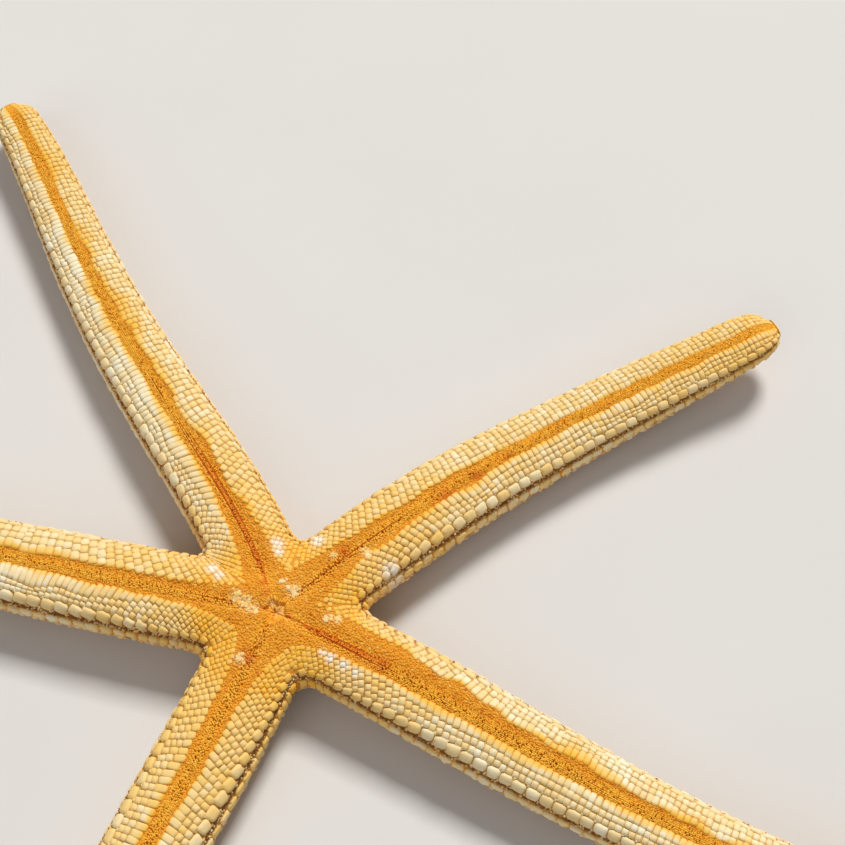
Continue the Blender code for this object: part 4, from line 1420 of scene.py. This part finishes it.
class Finish:
    """A material that is being written."""

    def __init__(self, name):
        self.material = bpy.data.materials.new(name)
        self.material.use_nodes = True
        self.tree = self.material.node_tree
        self.shader = self.tree.nodes["Principled BSDF"]

    def node(self, kind, settings, inputs, output=0):
        """Adds any node: its settings first, then the values or wires of its sockets."""
        made = self.tree.nodes.new(kind)
        for key, value in settings.items():
            setattr(made, key, value)
        for key, value in inputs.items():
            self.plug(made.inputs[key], value)
        return Wire(self, made.outputs[output])

    def plug(self, socket, value):
        if isinstance(value, Wire):
            self.tree.links.new(value.socket, socket)
        else:
            socket.default_value = value

    def number(self, name):
        """A number kept on the mesh's points."""
        settings = {"attribute_type": "GEOMETRY", "attribute_name": name}
        return self.node("ShaderNodeAttribute", settings, {}, "Fac")

    def noise(self, size, detail):
        """Noise about 0.5, with features of this size in millimetres."""
        place = self.node("ShaderNodeTexCoord", {}, {}, "Object")
        inputs = {"Vector": place, "Scale": 1 / (size * MM), "Detail": detail}
        return self.node("ShaderNodeTexNoise", {}, inputs)

    def mix(self, amount, first, second):
        """Two colours, mixed."""
        return self.node("ShaderNodeMix", {"data_type": "RGBA"}, {0: amount, 6: first, 7: second}, 2)

    def end(self, **inputs):
        """Plugs these into the shader. Where a name has a space, it is given with an underscore."""
        for key, value in inputs.items():
            self.plug(self.shader.inputs[key.replace("_", " ")], value)
        return self.material

    def matt(self, colour, fine, roughness, depth, strength, **inputs):
        """Ends a matt material whose roughness and relief both follow one fine noise."""
        relief = {"Height": fine, "Distance": depth * MM, "Strength": strength}
        bump = self.node("ShaderNodeBump", {}, relief)
        return self.end(Base_Color=colour, Roughness=roughness + fine * 0.2, Normal=bump, **inputs)


# %% Name the colours
CREAM = (0.94, 0.71, 0.34, 1)
PALE = (0.97, 0.87, 0.60, 1)
STRAW = (0.95, 0.61, 0.15, 1)
GOLD = (0.96, 0.54, 0.06, 1)
ORANGE = (0.93, 0.40, 0.022, 1)
AMBER = (0.74, 0.26, 0.012, 1)
RUST = (0.52, 0.085, 0.006, 1)
RED = (0.74, 0.13, 0.012, 1)
HONEY = (0.93, 0.58, 0.22, 1)
BUFF = (0.96, 0.72, 0.38, 1)
TAN = (0.60, 0.34, 0.15, 1)
# Brown of the skin between the plates, and painted shade at the plates' roots.
GAP_AND_SHADE_BROWN = (0.60, 0.38, 0.10, 1)
PORE_BROWN = (0.28, 0.115, 0.035, 1)
# Tan painted as shade on the margin plates' edges beside the pores.
PORE_SHADE_TAN = (0.62, 0.34, 0.11, 1)
WHITE = (0.95, 0.92, 0.84, 1)
TISSUE = (0.92, 0.71, 0.38, 1)


# %% The plates' lime
def plate_finish():
    f = Finish("limy_plates")
    tone, height = f.number("tone"), f.number("height")
    warm, pore, back, bleach = (f.number(name) for name in ("warm", "pore", "back", "bleach"))
    patches = f.noise(4.0, 3.0)
    pale = (tone * 0.4 + patches * 3.4 - 1.25 - warm).limited()
    colour = f.mix(pale, CREAM, PALE)
    straw = (warm * 2.2 + patches * 1.4 - tone * 0.7 - 0.60).limited()
    colour = f.mix(straw * 0.85, colour, STRAW)
    colour = f.mix((warm * 2.6 + tone * 0.8 - 2.0).limited(), colour, GOLD)
    colour = f.mix((warm * 3.0 + patches - 3.1).limited(), colour, ORANGE)
    blotch = (f.noise(0.9, 3.0) * 3.2 - 1.75).limited() * 0.25
    colour = f.mix(blotch, colour, GOLD)
    white = ((tone - 0.5) * 0.4 + (patches - 0.52) * 4 - warm * 1.5).limited() * 0.4
    colour = f.mix(white, colour, WHITE)
    honey = f.mix((tone * 0.8 + patches * 2.0 - 0.9).limited(), HONEY, BUFF)
    colour = f.mix(back, colour, f.mix((1.1 - height * 1.2).limited() * 0.75, honey, AMBER))
    # Painted shade: each plate turns brown towards its root, less on the back.
    root = (1 - height * 2.4).limited() * (1 - back * 0.7)
    colour = f.mix(root * 0.7, colour, GAP_AND_SHADE_BROWN)
    # Painted shade: the margin plates turn tan at their edges beside the strip of pores.
    colour = f.mix((pore * 0.5).limited(), colour, PORE_SHADE_TAN)
    colour = f.mix(bleach * 0.9, colour, WHITE)
    return f.matt(colour, f.noise(0.16, 2.0), 0.55, 0.03, 0.6, IOR=1.5, Specular_IOR_Level=0.25)


# %% The grains
def grain_finish():
    f = Finish("orange_grains")
    tone, height = f.number("tone"), f.number("height")
    core, crease, pore, back, bleach = (f.number(name) for name in MARKINGS[1:])
    patches = f.noise(1.8, 3.0)
    colour = f.mix((tone * 0.6 + patches * 1.4 - 0.25).limited(), ORANGE, GOLD)
    colour = f.mix((1 - core + patches * 1.2 - 0.6).limited() * 0.48, colour, AMBER)
    colour = f.mix(((0.14 - tone) * 6).limited() * (0.75 - core * 0.5), colour, RUST)
    light = (tone * 8 - 6.9).limited() * (0.75 - core * 0.5)
    colour = f.mix(light, colour, STRAW)
    colour = f.mix(pore, colour, f.mix((tone * 5 - 2.6).limited(), PORE_BROWN, CREAM))
    colour = f.mix(back, colour, f.mix(tone, PORE_BROWN, TAN))
    colour = f.mix(crease.limited(), colour, RED)
    # Painted shade: the grains turn amber towards their roots, less in the band's core.
    root = (1 - height * 1.4).limited()
    colour = f.mix(root * (0.25 - core * 0.15), colour, AMBER)
    colour = f.mix((bleach * 0.65).limited(), colour, CREAM)
    return f.matt(colour, f.noise(0.12, 2.0), 0.6, 0.02, 0.5, IOR=1.5, Specular_IOR_Level=0.15)


# %% Dried tissue, and the sieve plate
def crumb_finish():
    f = Finish("dried_tissue")
    tone, height = f.number("tone"), f.number("height")
    colour = f.mix((tone * 1.4 - 0.3).limited(), STRAW, TISSUE)
    colour = f.mix((1 - height * 1.5).limited() * 0.6, colour, AMBER)
    return f.matt(colour, f.noise(0.12, 3.0), 0.6, 0.03, 0.8)


def sieve_finish():
    f = Finish("sieve_lime")
    fine = f.noise(0.2, 3.0)
    colour = f.mix((fine * 2 - 0.6).limited(), STRAW, CREAM)
    return f.matt(colour, fine, 0.6, 0.03, 0.6)


# %% The skin between them
def skin_finish():
    f = Finish("dried_skin")
    warm, core, crease, pore, back, bleach = (f.number(name) for name in MARKINGS)
    speckle = f.noise(0.2, 3.0)
    colour = f.mix((speckle * 0.6 + pore).limited() * pore, GAP_AND_SHADE_BROWN, PORE_BROWN)
    amber = f.mix((speckle * 3.0 + core * 0.8 - 1.1).limited(), AMBER, ORANGE)
    colour = f.mix((warm * 1.4 - 0.5 - pore).limited(), colour, amber)
    colour = f.mix(back, colour, f.mix((speckle * 3 - 1).limited(), PORE_BROWN, TAN))
    colour = f.mix((crease * 0.9).limited(), colour, RUST)
    colour = f.mix(bleach * 0.5, colour, CREAM)
    return f.matt(colour, speckle, 0.7, 0.08, 0.8, Specular_IOR_Level=0.15)


# %% The pale floor
def floor_finish():
    f = Finish("pale_card")
    cloud = f.noise(40.0, 3.0)
    colour = f.mix(cloud, (0.72, 0.71, 0.69, 1), (0.76, 0.75, 0.73, 1))
    return f.end(Base_Color=colour, Roughness=0.85 + cloud * 0.1)


def wear(obj, material):
    obj.data.materials.clear()
    obj.data.materials.append(material)


wear(skin, skin_finish())
wear(floor, floor_finish())
lime, orange_grains = plate_finish(), grain_finish()
for piece in coat:
    wear(piece, lime if piece.name.endswith("plates") else orange_grains)
for piece in tips:
    wear(piece, lime)
wear(mouth, orange_grains)
wear(crumb_piece, crumb_finish())
wear(sieve, sieve_finish())

# %% [markdown]
# ## Attaching the pieces
#
# Every piece rides on the one body of the frame. The skin and coat are seen in place of the solids, which
# are kept out of sight for the simulator.

# %% Ride, and hide the solids
for piece in [skin, *coat, *tips, mouth, crumb_piece, sieve]:
    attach(piece, "root")
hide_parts(*(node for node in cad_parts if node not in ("mouth", "madreporite")))
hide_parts("mouth")
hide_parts("madreporite")
